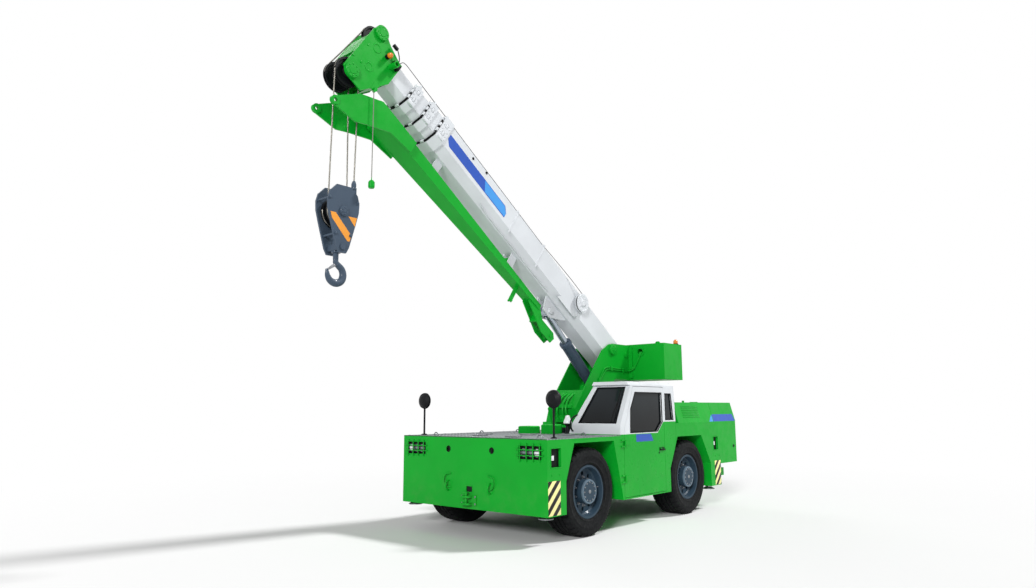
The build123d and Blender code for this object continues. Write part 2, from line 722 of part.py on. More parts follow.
def door_hinge(on_door):
    """Straps and barrels of the two door hinges; the cab's half carries the pins."""
    x, y = hinge_axis()
    half = Part()
    for z in HINGE_Z:
        if on_door:
            half += block(BODY_HALF - 2, BODY_HALF + 6, y, DOOR_Y[0] + 130, z - 28, z + 28)
            half += z_pin(z - 28, z + 28, x, y, HINGE_PIN_R + HINGE_WALL)
            half -= z_pin(z - 40, z + 40, x, y, HINGE_PIN_R + SPINDLE_FIT)
        else:
            half += z_pin(z - 50, z + 50, x, y, HINGE_PIN_R)
            for z0 in (z - 50, z + 30):
                half += z_pin(z0, z0 + 20, x, y, HINGE_PIN_R + HINGE_WALL)
                half += block(BODY_HALF + 6, BODY_HALF + 14, y - 80, y, z0, z0 + 20)
                half += block(BODY_HALF - 2, BODY_HALF + 14, y - 80, y - 34, z0, z0 + 20)
    return half


def cab_shell():
    shell = cab_bulk(0) - cab_bulk(CAB_WALL)
    shell -= across(door_outline(DOOR_GAP), BODY_HALF - DOOR_THICK - DOOR_GAP - 4, BODY_HALF + 10)
    shell += door_hinge(False)
    for cut in cab_cuts():
        shell -= cut
    seat_base = block(640, 1040, 130, 560, BELLY_Z + 5, 640)
    shell += seat_base
    step = block(BODY_HALF - 120, BODY_HALF - DOOR_THICK - DOOR_GAP, -500, 450, BELLY_Z + 5, BELLY_Z + 60)
    return shell + step


def cab_glass():
    """Panes that lie in the window openings, each as thin as real glass."""
    screen_cut, rear_cut, quarter, inner_cut = cab_cuts(-SEAT)
    depth = 12.0
    screen_line = [(COWL_Y + depth, SILL_Z), (SHIELD_TOP[0] + depth, SHIELD_TOP[1])]
    rear_line = [(CAB_REAR_Y - depth, 1336), (790 - depth, CAB_ROOF_Z - 28)]
    lean_line = [(CAB_INNER_X + depth, DECK_Z), (CAB_LEAN_X + depth, CAB_ROOF_Z)]
    screen = across(slanted_strip(screen_line, GLASS), 500, BODY_HALF) & screen_cut
    rear = across(slanted_strip(rear_line, -GLASS), 500, BODY_HALF) & rear_cut
    inner = lengthwise(slanted_strip(lean_line, GLASS), -700, 900) & inner_cut
    quarter_pane = across(quarter_window(-SEAT), BODY_HALF - 24, BODY_HALF - 24 + GLASS) & quarter
    panes = (screen, rear, inner, quarter_pane)
    return Compound(children=[pane.solids()[0] for pane in panes])


def slanted_strip(line, thick):
    """A band of the given width beside a line of two (across, z) points."""
    return line + [(v + thick, z) for v, z in reversed(line)]


def cab_door():
    panel = across(door_outline(), BODY_HALF - DOOR_THICK, BODY_HALF)
    panel -= across(door_window(), BODY_HALF - DOOR_THICK - 5, BODY_HALF + 5)
    pocket = block(BODY_HALF - DOOR_THICK - 5, BODY_HALF - 12, -440, 440, 470, 1150)
    panel -= pocket
    grip = block(BODY_HALF - 6, BODY_HALF + 24, 360, 468, 968, 980)
    grip += block(BODY_HALF - 6, BODY_HALF + 24, 360, 372, 968, 996) + block(BODY_HALF - 6, BODY_HALF + 24, 456, 468, 968, 996)
    return panel + grip + door_hinge(True)


def door_glass():
    return across(door_window(-SEAT), BODY_HALF - 28, BODY_HALF - 28 + GLASS)


def operator_seat():
    base = 640 + SEAT
    cushion = block(650, 1030, 90, 510, base, base + 190)
    cushion = fillet(cushion.edges().filter_by(Axis.X), 40)
    back = Pos(840, 515, base + 170) * Rot(-10, 0, 0) * block(-185, 185, -50, 60, -20, 560)
    rest = Pos(840, 515, base + 170) * Rot(-10, 0, 0) * block(-110, 110, -35, 45, 555, 700)
    return cushion + back + rest


def dashboard():
    """Console against the bulkhead with the steering column and wheel."""
    console = across([(-605, 1120), (-605, 1290), (-520, 1290), (-400, 1190), (-430, 1120)], 560, 1150)
    legs = block(600, 640, -556, -520, BELLY_Z + CAB_WALL + SEAT, 1125)
    legs += block(1090, 1130, -556, -520, BELLY_Z + CAB_WALL + SEAT, 1125)
    tilt = Pos(840, -430, 1180) * Rot(-32, 0, 0)
    column = tilt * Cylinder(28, 284)
    wheel = tilt * Pos(0, 0, 150) * Torus(180, 14)
    spokes = tilt * Pos(0, 0, 145) * (Box(352, 26, 12) + Box(26, 352, 12) + Cylinder(42, 24))
    return console + legs + column + wheel + spokes


# Turret
def turret_side():
    return [
        (-170, DECK_Z + 5 + RING_H + 2 * SEAT),
        (-281, 1540),
        (-80, 1790),
        (263, 2210),
        (435, 2410),
        (622, 2515),
        (720, TURRET_TOP_Z),
        (COUNTERWEIGHT_Y[0] - SEAT, TURRET_TOP_Z),
        (COUNTERWEIGHT_Y[0] - SEAT, COUNTERWEIGHT_Z[0]),
        (760, COUNTERWEIGHT_Z[0]),
        (560, 1540),
        (470, DECK_Z + 5 + RING_H + 2 * SEAT),
    ]


def turret_frame():
    base_z = DECK_Z + 5 + RING_H + 2 * SEAT
    inner = TURRET_OUTER - TURRET_PLATE
    frame = both(across(turret_side(), inner, TURRET_OUTER))
    frame += z_pin(base_z, base_z + 30, 0, SLEW_Y, RING_R - 8)
    nose_line = [(-166, base_z), (-277, 1540), (-60, 1810)]
    back_line = [(466, base_z), (556, 1540), (754, 1976)]
    nose = across(nose_line + [(y + 20, z) for y, z in reversed(nose_line)], -inner, inner)
    back = across(back_line + [(y - 20, z) for y, z in reversed(back_line)], -inner, inner)
    ceiling = block(-inner, inner, 736, COUNTERWEIGHT_Y[0] - SEAT, COUNTERWEIGHT_Z[0], COUNTERWEIGHT_Z[0] + 20)
    end = block(-inner, inner, COUNTERWEIGHT_Y[0] - 18, COUNTERWEIGHT_Y[0] - SEAT, 1990, 2250)
    frame += nose + back + ceiling + end
    for x in (-1, 1):
        frame += x_pin(x * inner, x * (TURRET_OUTER + 22), PIVOT_Y, PIVOT_Z, PIVOT_PIN_R + 30)
        frame += x_pin(x * (LIFT_BARREL_R + RUN), x * inner, LIFT_PIN_Y, LIFT_PIN_Z, LIFT_PIN_R + 25)
        frame += x_pin(x * inner, x * (TURRET_OUTER + 14), DRUM_Y, DRUM_Z, 45)
    frame += x_pin(-inner - 5, inner + 5, PIVOT_Y, PIVOT_Z, PIVOT_PIN_R)
    frame += x_pin(-inner - 5, inner + 5, LIFT_PIN_Y, LIFT_PIN_Z, LIFT_PIN_R)
    frame += x_pin(-inner - 5, inner + 5, DRUM_Y, DRUM_Z, 24)
    flange = block(inner - 2, TURRET_OUTER + 60, 1130, COUNTERWEIGHT_Y[0] - SEAT, 2010, 2500)
    flange -= block(TURRET_OUTER, TURRET_OUTER + 80, 1100, COUNTERWEIGHT_Y[0] - 24, 2000, 2520)
    frame += both(flange)
    lamp_post = z_pin(1540, 1600, -140, -268, 9) + block(-160, -120, -282, -262, 1500, 1560)
    lamp_box = block(-185, -95, -330, -262, 1598, 1680)
    return frame + lamp_post + lamp_box


def slew_ring():
    """Fixed race with gear teeth round it, bolted on the frame's pedestal."""
    z0 = DECK_Z + 5 + SEAT
    ring = Pos(0, SLEW_Y, z0 + RING_H / 2) * (Cylinder(RING_R - 12, RING_H) - Cylinder(RING_BORE_R, RING_H))
    pitch = 2 * pi * RING_R / RING_TEETH
    tooth_face = outline([
        (RING_R - 14, -pitch * 0.3),
        (RING_R, -pitch * 0.14),
        (RING_R, pitch * 0.14),
        (RING_R - 14, pitch * 0.3),
    ])
    tooth = Pos(0, 0, z0) * extrude(tooth_face, amount=RING_H - 20)
    teeth = [Pos(0, SLEW_Y, 0) * Rot(0, 0, 360 / RING_TEETH * i) * tooth for i in range(RING_TEETH)]
    return ring.fuse(*teeth)


def counterweight():
    y0, y1 = COUNTERWEIGHT_Y
    z0, z1 = COUNTERWEIGHT_Z
    half = COUNTERWEIGHT_HALF
    plan = [(-half, y0), (half, y0), (half, y1 - 40), (half - 40, y1), (-half + 40, y1), (-half, y1 - 40)]
    box = upright(plan, z0, z1)
    box -= across([(y0 + 20, z0 - 1), (y0 + 20, z0 + 240), (y1 - 20, z0 + 60), (y1 - 20, z0 - 1)], -200, 200)
    hole = y_pin(y0 - 5, y0 + 90, 455, 2420, 48)
    collar = y_pin(y0 - 16, y0 + 4, 455, 2420, 64) - y_pin(y0 - 20, y0 + 10, 455, 2420, 48)
    return box - hole + collar


def beacon(x, y, z):
    """Flashing lamp on a flat foot."""
    return Pos(x, y, z) * turned_z([(0, 0), (46, 0), (46, 10), (38, 12), (36, 62), (22, 84), (0, 90)])


def hoist_winch():
    """Rope drum between the turret plates, with flanges and rope grooves."""
    half = TURRET_OUTER - TURRET_PLATE - RUN
    bore = 24 + SEAT
    profile = [(-half, bore), (-half, DRUM_FLANGE_R), (-half + 14, DRUM_FLANGE_R), (-half + 14, DRUM_R)]
    grooves = 12
    pitch = (2 * half - 28) / grooves
    for i in range(grooves):
        start = -half + 14 + i * pitch
        profile += [(start + pitch * 0.25, DRUM_R - 4), (start + pitch * 0.75, DRUM_R - 4), (start + pitch, DRUM_R)]
    profile += [(half - 14, DRUM_FLANGE_R), (half, DRUM_FLANGE_R), (half, bore)]
    return Pos(0, DRUM_Y, DRUM_Z) * turned_x(profile)


# Lift cylinder, modelled along its own axis and then laid between its pins
def boom_point(s, n):
    a = radians(BOOM_ANGLE)
    return PIVOT_Y - s * cos(a) + n * sin(a), PIVOT_Z + s * sin(a) + n * cos(a)


def on_lift_axis(shape):
    y, z = boom_point(*LIFT_EYE)
    angle = degrees(atan2(z - LIFT_PIN_Z, LIFT_PIN_Y - y))
    return Pos(0, LIFT_PIN_Y, LIFT_PIN_Z) * Rot(-angle, 0, 0) * shape


def lift_length():
    y, z = boom_point(*LIFT_EYE)
    return hypot(LIFT_PIN_Y - y, z - LIFT_PIN_Z)


def lift_barrel():
    """Barrel with its base eye, end cap and gland, pointing along -Y."""
    eye = x_pin(-LIFT_BARREL_R, LIFT_BARREL_R, 0, 0, LIFT_PIN_R + 28)
    tube = y_pin(-LIFT_BARREL_LENGTH, -50, 0, 0, LIFT_BARREL_R - 6)
    gland = y_pin(-LIFT_BARREL_LENGTH, -LIFT_BARREL_LENGTH + 60, 0, 0, LIFT_BARREL_R)
    foot = y_pin(-110, -50, 0, 0, LIFT_BARREL_R)
    pipe = y_pin(-LIFT_BARREL_LENGTH + 30, -90, 0, -LIFT_BARREL_R - 4, 11)
    body = eye + tube + gland + foot + pipe
    body -= y_pin(-LIFT_BARREL_LENGTH - 5, -150, 0, 0, LIFT_ROD_R + 0.1)
    body -= x_pin(-LIFT_BARREL_R - 5, LIFT_BARREL_R + 5, 0, 0, LIFT_PIN_R + 0.1)
    return on_lift_axis(body)


def lift_rod():
    length = lift_length()
    rod = y_pin(-length + 60, -360, 0, 0, LIFT_ROD_R)
    eye = x_pin(-GUSSET_INNER + RUN, GUSSET_INNER - RUN, -length, 0, 66)
    eye -= x_pin(-80, 80, -length, 0, LIFT_PIN_R)
    rod -= x_pin(-80, 80, -length, 0, LIFT_PIN_R)
    return on_lift_axis(rod + eye)


# Boom, modelled flat with its pivot at the origin and s running along -Y
def on_boom(shape):
    return Pos(0, PIVOT_Y, PIVOT_Z) * Rot(-BOOM_ANGLE, 0, 0) * shape


def boom_side(points, x0, x1):
    return across([(-s, n) for s, n in points], x0, x1)


def boom_bar(x0, x1, s0, s1, n0, n1):
    return block(x0, x1, -s1, -s0, n0, n1)


def boom_pin(x0, x1, s, n, r):
    return x_pin(x0, x1, -s, n, r)


def stage_section(shrink):
    """Cross-section of one boom stage, with bevelled lower corners."""
    half = BOOM_HALF - shrink
    low = BOOM_N[0] + shrink
    high = BOOM_N[1] - shrink
    bevel = BOOM_CHAMFER - shrink * 0.4
    return [
        (-half + bevel, low),
        (half - bevel, low),
        (half, low + bevel),
        (half, high - 18),
        (half - 18, high),
        (-half + 18, high),
        (-half, high - 18),
        (-half, low + bevel),
    ]


def stage_tube(shrink, wall, s0, s1):
    tube = lengthwise(stage_section(shrink), -s1, -s0)
    return tube - lengthwise(stage_section(shrink + wall), -s1 - 5, -s0 + 5)


def collar(shrink, s0, s1):
    """Stiffening collar round the mouth of a stage, with slots for its wear pads."""
    ring = lengthwise(stage_section(shrink - COLLAR_GROWTH), -s1, -s0)
    ring -= lengthwise(stage_section(shrink + 4), -s1 - 5, -s0 + 5)
    middle = (s0 + s1) / 2
    outer = BOOM_HALF - shrink + COLLAR_GROWTH
    for side in (-1, 1):
        for n in (-70, 60):
            ring -= boom_bar(side * (outer - 10), side * (outer + 5), middle - 22, middle + 22, n, n + 66)
    return ring


def wear_pads(shrink, wall, s0, s1):
    """Pads fixed inside a stage that the next stage slides on."""
    gap = STAGE_STEP - wall - SEAT
    half = BOOM_HALF - shrink - wall
    low = BOOM_N[0] + shrink + wall
    high = BOOM_N[1] - shrink - wall
    pads = boom_bar(-90, 90, s0, s1, low - 1, low + gap) + boom_bar(-120, 120, s0, s1, high - gap, high + 1)
    for side in (-1, 1):
        pads += boom_bar(side * (half + 1), side * (half - gap), s0, s1, -60, 100)
    return pads


def boom_base():
    body = stage_tube(0, BOOM_WALL, BOOM_REAR_S, BOOM_FRONT_S)
    body += collar(0, BOOM_FRONT_S - COLLAR_LENGTH, BOOM_FRONT_S)
    body += wear_pads(0, BOOM_WALL, BOOM_FRONT_S - PAD_LENGTH, BOOM_FRONT_S)
    body += lengthwise(stage_section(2), -BOOM_REAR_S - 14, -BOOM_REAR_S)
    for side in (-1, 1):
        body += boom_pin(side * (BOOM_HALF - BOOM_WALL - 10), side * (BOOM_HALF + RUN / 2), 0, 0, PIVOT_PIN_R + 34)
    body += lengthwise(stage_section(BOOM_WALL - 2), -262, -250)
    gusset = [(1505, -430), (1330, -440), (1230, -380), (982, -222), (982, -140), (1560, -140), (1560, -222)]
    for side in (-1, 1):
        body += boom_side(gusset, side * GUSSET_INNER, side * (GUSSET_INNER + GUSSET_PLATE))
        stub = boom_pin(side * (GUSSET_INNER + 2), side * (GUSSET_INNER + GUSSET_PLATE + 26), *LIFT_EYE, LIFT_PIN_R)
        body += stub
    side_gusset = [(1500, -200), (1418, -125), (982, -135), (1050, -200)]
    body += both(boom_side(side_gusset, BOOM_HALF - 4, BOOM_HALF + 8))
    body -= lengthwise(stage_section(BOOM_WALL), -1600, -900)
    for s, n, half in ((4120, -400, 60), (2400, -400, 60)):
        for side in (-1, 1):
            body += boom_bar(side * half, side * (half + 16), s - 60, s + 60, n, -220)
    body -= boom_pin(-BOOM_HALF - 30, BOOM_HALF + 30, 0, 0, PIVOT_PIN_R + 0.1)
    return on_boom(body)


def boom_stage(index):
    """Inner stage 1, 2 or 3, with its own pads, and collars on the first two."""
    shrink = STAGE_STEP * index
    s0 = STAGE_REAR_S[index - 1]
    s1 = STAGE_FRONT_S[index - 1]
    body = stage_tube(shrink, BOOM_WALL, s0, s1)
    if index < 3:
        body += collar(shrink, s1 - 110, s1)
        body += wear_pads(shrink, BOOM_WALL, s1 - PAD_LENGTH, s1)
    else:
        body += lengthwise(stage_section(shrink), -s1, -s1 + 12)
    return on_boom(body)


def head_outline():
    return [
        (5262 + SEAT, -190),
        (5390, -440),
        (5470, -585),
        (5650, -585),
        (5790, -530),
        (5790, 190),
        (5640, 310),
        (5580, 250),
        (5400, 160),
        (5262 + SEAT, 160),
    ]


def boom_head():
    out = HEAD_PLATE_OUT
    head = both(boom_side(head_outline(), out - HEAD_PLATE, out))
    for s, n in (LOWER_AXLE, UPPER_AXLE):
        head += both(boom_pin(out - HEAD_PLATE, HEAD_BOSS_OUT, s, n, HEAD_BOSS_R))
        head += boom_pin(-out, out, s, n, AXLE_PIN_R)
    head += boom_bar(-out, out, 5262 + SEAT, 5280, -170, 146)
    head += boom_side([(5275, -190), (5395, -430), (5410, -420), (5295, -180)], -out, out)
    head += boom_side([(5300, 140), (5500, 196), (5496, 212), (5300, 156)], -out, out)
    head += boom_bar(-out, out, 5770, 5788, -250, 60)
    tube = boom_pin(out - 4, out + 120, 5365, 0, 36) - boom_pin(out + 20, out + 125, 5365, 0, 26)
    head += tube
    bracket = boom_bar(out - 4, STOP_WEIGHT_X + 12, STOP_WEIGHT_LINK[0] - 22, STOP_WEIGHT_LINK[0] + 22, -446, -420)
    head += bracket + boom_bar(out - 4, out + 4, 5330, 5400, -446, -330)
    s, n = STOP_WEIGHT_LINK
    for x in (STOP_WEIGHT_X - 12, STOP_WEIGHT_X + 6):
        head += boom_bar(x, x + 6, s - 13, s + 13, n - 12, -440)
    head += boom_pin(STOP_WEIGHT_X - 10, STOP_WEIGHT_X + 10, s, n, LINK_PIN_R)
    return on_boom(head)


def sheave(x, r, hub_r, width):
    """Grooved rope wheel about the X axis."""
    half = width / 2
    bore = AXLE_PIN_R + SEAT
    profile = [
        (-half, bore),
        (-half, hub_r),
        (-half + 12, hub_r + 6),
        (-half + 12, r - 34),
        (-half, r - 26),
        (-half, r),
        (-half + 6, r),
        (-ROPE_R - 1, r - 18),
        (ROPE_R + 1, r - 18),
        (half - 6, r),
        (half, r),
        (half, r - 26),
        (half - 12, r - 34),
        (half - 12, hub_r + 6),
        (half, hub_r),
        (half, bore),
    ]
    return Pos(x, 0, 0) * turned_x(profile)


def sheave_place(s, n):
    return Pos(0, -s, n)


def head_sheaves():
    """Two lower sheaves and one upper sheave on the head's axles."""
    wheels = []
    for x in (-SHEAVE_X, SHEAVE_X):
        wheels.append(sheave_place(*LOWER_AXLE) * sheave(x, LOWER_SHEAVE_R, 62, SHEAVE_WIDTH))
    wheels.append(sheave_place(*UPPER_AXLE) * sheave(0, UPPER_SHEAVE_R, 62, SHEAVE_WIDTH))
    return Compound(children=[on_boom(w) for w in wheels])


# Jib, stowed under the boom with its fork ahead
def jib_section(half, top, bottom):
    return [(-half, bottom), (half, bottom), (half, top), (-half, top)]


def jib_beam():
    """Tapering box of the jib, with a slanted front end that the hoist falls clear."""
    root = Plane.XZ.offset(5200) * outline(jib_section(JIB_ROOT_HALF, JIB_TOP_N, JIB_ROOT_LOW_N))
    tip = Plane.XZ.offset(1560) * outline(jib_section(JIB_TIP_HALF, JIB_TOP_N, JIB_TIP_LOW_N))
    beam = loft([root, tip])
    return beam - boom_side([(4930, -700), (5200, JIB_TOP_N), (5300, JIB_TOP_N), (5300, -700)], -300, 300)


JIB_ROOT_HALF = 150.0
JIB_TIP_HALF = 70.0
JIB_TOP_N = -410.0
JIB_ROOT_LOW_N = -600.0
JIB_TIP_LOW_N = -485.0
JIB_FORK_OUT = 185.0
JIB_FORK_PLATE = 20.0


def jib():
    body = jib_beam()
    fork = [
        (4560, -425),
        (5180, -425),
        (5445, -618),
        (5640, -905),
        (5640, -985),
        (5590, -1000),
        (5300, -935),
        (5170, -830),
        (4900, -640),
        (4560, -590),
    ]
    inner = JIB_FORK_OUT - JIB_FORK_PLATE
    plates = both(boom_side(fork, inner, JIB_FORK_OUT))
    plates += both(boom_pin(inner - 14, JIB_FORK_OUT + 8, 5615, -950, 52))
    plates -= boom_pin(-250, 250, 5615, -950, 24)
    filler = [(4570, -430), (5150, -430), (4925, -590), (4570, -585)]
    plates += both(boom_side(filler, JIB_ROOT_HALF - 30, inner + 2))
    tip = [
        (1800, -415),
        (1560, -440),
        (1420, -555),
        (1120, -555),
        (1060, -620),
        (1100, -715),
        (1350, -715),
        (1800, -520),
    ]
    cheeks = both(boom_side(tip, JIB_TIP_HALF - 24, JIB_TIP_HALF - 8))
    cheeks += boom_pin(-JIB_TIP_HALF, JIB_TIP_HALF, 1160, -636, 20)
    cheeks += Pos(0, -1160, -636) * turned_x([(-22, 15), (-22, 70), (-9, 58), (9, 58), (22, 70), (22, 15)])
    cheeks += boom_bar(-JIB_TIP_HALF + 10, JIB_TIP_HALF - 10, 1500, 1530, -660, -540)
    lugs = Part()
    for s in (2400, 4120):
        lugs += boom_bar(-58, 58, s - 50, s + 50, JIB_TOP_N - 20, -300)
        lugs += boom_bar(-60 + SEAT, 60 - SEAT, s - 30, s + 30, -330, -300)
    rope_guide = boom_bar(-10, 10, 2030, 2090, -740, -470) + boom_pin(-34, 34, 2060, -730, 16)
    return on_boom(body + plates + cheeks + lugs + rope_guide)


def cable_reel():
    """Spring reel on the left of the boom for the load cable."""
    x0 = BOOM_HALF + SEAT
    bracket = [(x0, 0), (x0, 50), (x0 + 20, 50), (x0 + 20, 118), (x0 + 26, 140), (x0 + 34, 140)]
    bracket += [(x0 + 38, 104), (x0 + 62, 104), (x0 + 66, 140), (x0 + 74, 140), (x0 + 74, 60), (x0 + 92, 40), (x0 + 92, 0)]
    return on_boom(Pos(0, -1030, 60) * turned_x(bracket))


# Hook block
def head_axle():
    return boom_point(*LOWER_AXLE)


def rod_between(start, end, r):
    line = Line(start, end)
    return sweep(Plane(origin=start, z_dir=line % 0) * Circle(r), path=line)


def hoist_rope():
    """Three plain falls from the head sheaves to the block."""
    y, z = head_axle()
    offset = LOWER_SHEAVE_R - 18 + ROPE_R + SEAT
    low_offset = BLOCK_SHEAVE_R - 18 + ROPE_R + SEAT
    low_z = z - BLOCK_SHEAVE_DROP
    falls = [
        rod_between((SHEAVE_X, y - offset, z), (BLOCK_SHEAVE_X, y - low_offset, low_z), ROPE_R),
        rod_between((-SHEAVE_X, y + offset, z), (-BLOCK_SHEAVE_X, y + low_offset, low_z), ROPE_R),
        rod_between((SHEAVE_X, y + offset, z), (BECKET_X, y + BECKET_Y, z - BECKET_DROP), ROPE_R),
    ]
    return Compound(children=falls)


BLOCK_SHEAVE_X = 46.0
BECKET_X = 107.0
BECKET_Y = 128.0
BECKET_DROP = 1262.0


def hook_block():
    y, z = head_axle()
    outline_points = [
        (-96, BLOCK_TOP_DROP),
        (96, BLOCK_TOP_DROP),
        (178, 1392),
        (203, 1480),
        (198, 1580),
        (160, 1720),
        (80, 1990),
        (46, BLOCK_BOTTOM_DROP),
        (-46, BLOCK_BOTTOM_DROP),
        (-80, 1990),
        (-160, 1720),
        (-198, 1580),
        (-203, 1480),
        (-178, 1392),
    ]
    points = [(y + dy, z - drop) for dy, drop in outline_points]
    inner = BLOCK_PLATE_X - BLOCK_PLATE
    body = both(across(points, inner, BLOCK_PLATE_X))
    axle_z = z - BLOCK_SHEAVE_DROP
    body += x_pin(-BLOCK_PLATE_X - 14, BLOCK_PLATE_X + 14, y, axle_z, AXLE_PIN_R)
    body += both(x_pin(inner, BLOCK_PLATE_X + 14, y, axle_z, 58))
    trunnion_z = z - 1982
    body += block(-inner - 2, inner + 2, y - 44, y + 44, trunnion_z - 34, trunnion_z + 34)
    body += both(x_pin(inner, BLOCK_PLATE_X + 12, y, trunnion_z, 36))
    for dy, drop in ((-150, 1470), (150, 1470), (-96, 1850), (96, 1850)):
        body += x_pin(-inner - 5, inner + 5, y + dy * 1.2, z - drop, 12) if drop < 1800 else x_pin(-inner - 5, inner + 5, y + dy, z - drop, 12)
    ear = [
        (y + BECKET_Y - 30, z - BLOCK_TOP_DROP - 60),
        (y + BECKET_Y - 30, z - BECKET_DROP - 40),
        (y + BECKET_Y + 30, z - BECKET_DROP - 40),
        (y + BECKET_Y + 30, z - BLOCK_TOP_DROP - 80),
    ]
    body += across(ear, inner, BLOCK_PLATE_X)
    body += z_pin(z - BECKET_DROP - 60, z - BECKET_DROP - SEAT, BECKET_X, y + BECKET_Y, 22)
    body -= z_pin(trunnion_z - 60, trunnion_z + 60, 0, y, HOOK_SHANK_R + 0.1)
    return body


HOOK_SHANK_R = 30.0


def block_sheaves():
    y, z = head_axle()
    place = Pos(0, y, z - BLOCK_SHEAVE_DROP)
    wheels = [place * sheave(x, BLOCK_SHEAVE_R, 58, SHEAVE_WIDTH) for x in (-BLOCK_SHEAVE_X, BLOCK_SHEAVE_X)]
    return Compound(children=wheels)


def hook():
    """Forged hook with its shank, nut, rounded tip and safety latch."""
    y, z = head_axle()
    bowl_r = 96.0
    thick = 32.0
    centre_z = z - HOOK_DROP + bowl_r + thick
    top = z - 1982
    shank = z_pin(centre_z + bowl_r - 10, top + 38, 0, y, HOOK_SHANK_R)
    nut = z_pin(top + 34 + SEAT, top + 78, 0, y, 46)
    collar_ring = z_pin(top - 34 - SEAT - 26, top - 34 - SEAT, 0, y, 50)
    bowl = Pos(0, y, centre_z) * Rot(0, 90, 0) * Rot(0, 0, -180) * Torus(bowl_r, thick, major_angle=275)
    return shank + nut + collar_ring + bowl


def stop_weight():
    """Weight of the hoist limit switch, hanging from the head by its thin rod."""
    x = STOP_WEIGHT_X
    y, z = boom_point(*STOP_WEIGHT_LINK)
    rod = z_pin(z - STOP_WEIGHT_DROP, z - 10, x, y, 5)
    eye = x_pin(x - 4, x + 4, y, z, 14)
    profile = [(0, 0), (30, 0), (36, 14), (36, 66), (26, 84), (12, 92), (0, 92)]
    weight = Pos(x, y, z - STOP_WEIGHT_DROP) * turned_z(profile)
    return rod + weight + eye - x_pin(x - 10, x + 10, y, z, LINK_PIN_R + SPINDLE_FIT)


# Small chassis pieces
def headlamps():
    """Lamp clusters in the front pockets, with bar guards across them."""
    pieces = []
    for side in (-1, 1):
        back = FRONT_FACE_Y + 34 - SEAT
        body = block(side * 802, side * 1148, back - 12, back, 962, 1113)
        for x in (880, 985, 1080):
            body += y_pin(back - 26, back - 10, side * x, 1037, 42)
        for z in (985, 1020, 1055, 1090):
            body += x_pin(side * 806, side * 1144, FRONT_FACE_Y + 4, z, 4)
        for x in (820, 930, 1033, 1130):
            body += block(side * x - 4, side * x + 4, FRONT_FACE_Y + 1, back - 10, 964, 1111)
        pieces.append(body)
    return Compound(children=pieces)


def mirror_set(side):
    """Round convex mirror on a bent pole that stands on the deck."""
    x, y = side * 1125, -1910
    pole = z_pin(DECK_Z + SEAT, 1600, x, y, 13) + z_pin(DECK_Z + SEAT, DECK_Z + 10, x, y, 42)
    head = Pos(x, y - 6, 1655) * Rot(90, 0, 0) * turned_z([(0, 42), (60, 34), (104, 12), (108, 0), (108, -10), (0, -10)])
    neck = block(x - 12, x + 12, y - 14, y + 30, 1580, 1640)
    return pole + neck + head


def tow_coupling():
    """Two-jaw coupling with its pin, bolted low on the front face."""
    y = FRONT_FACE_Y - SEAT
    flange = block(-130, 130, y - 14, y, 372, 498)
    jaws = block(-75, 75, y - 95, y - 10, 470, 490) + block(-75, 75, y - 95, y - 10, 384, 404)
    jaws = fillet(jaws.edges().filter_by(Axis.Z).group_by(Axis.Y)[0], 40)
    pin = z_pin(376, 530, 0, y - 55, 15) + z_pin(524, 536, 0, y - 55, 26)
    return flange + jaws + pin


HITCH_EYE_BACK = 460.0
HITCH_EYE_R = 26.0


def rear_hitch():
    """Drawbar under the tail with its pin eye."""
    y0 = REAR_CORNER_Y + SEAT
    top = TAIL_BELLY_Z - SEAT
    beam = block(-1120, 1120, y0 + 40, y0 + 110, 470, 590)
    hangers = both(block(820, 860, y0, y0 + 330, 480, top))
    bar = block(-90, 90, y0 + 60, y0 + 520, 470, 500) + block(-90, 90, y0 + 60, y0 + 520, 560, 590)
    bar += block(-90, 90, y0 + 60, y0 + 180, 470, 590) + block(-90, 90, y0 + 400, y0 + 520, 470, 590)
    bar -= z_pin(400, 700, 0, y0 + HITCH_EYE_BACK, HITCH_EYE_R)
    steps = both(block(1040, 1120, y0 + 40, y0 + 330, 470, 590))
    return beam + hangers + bar + steps


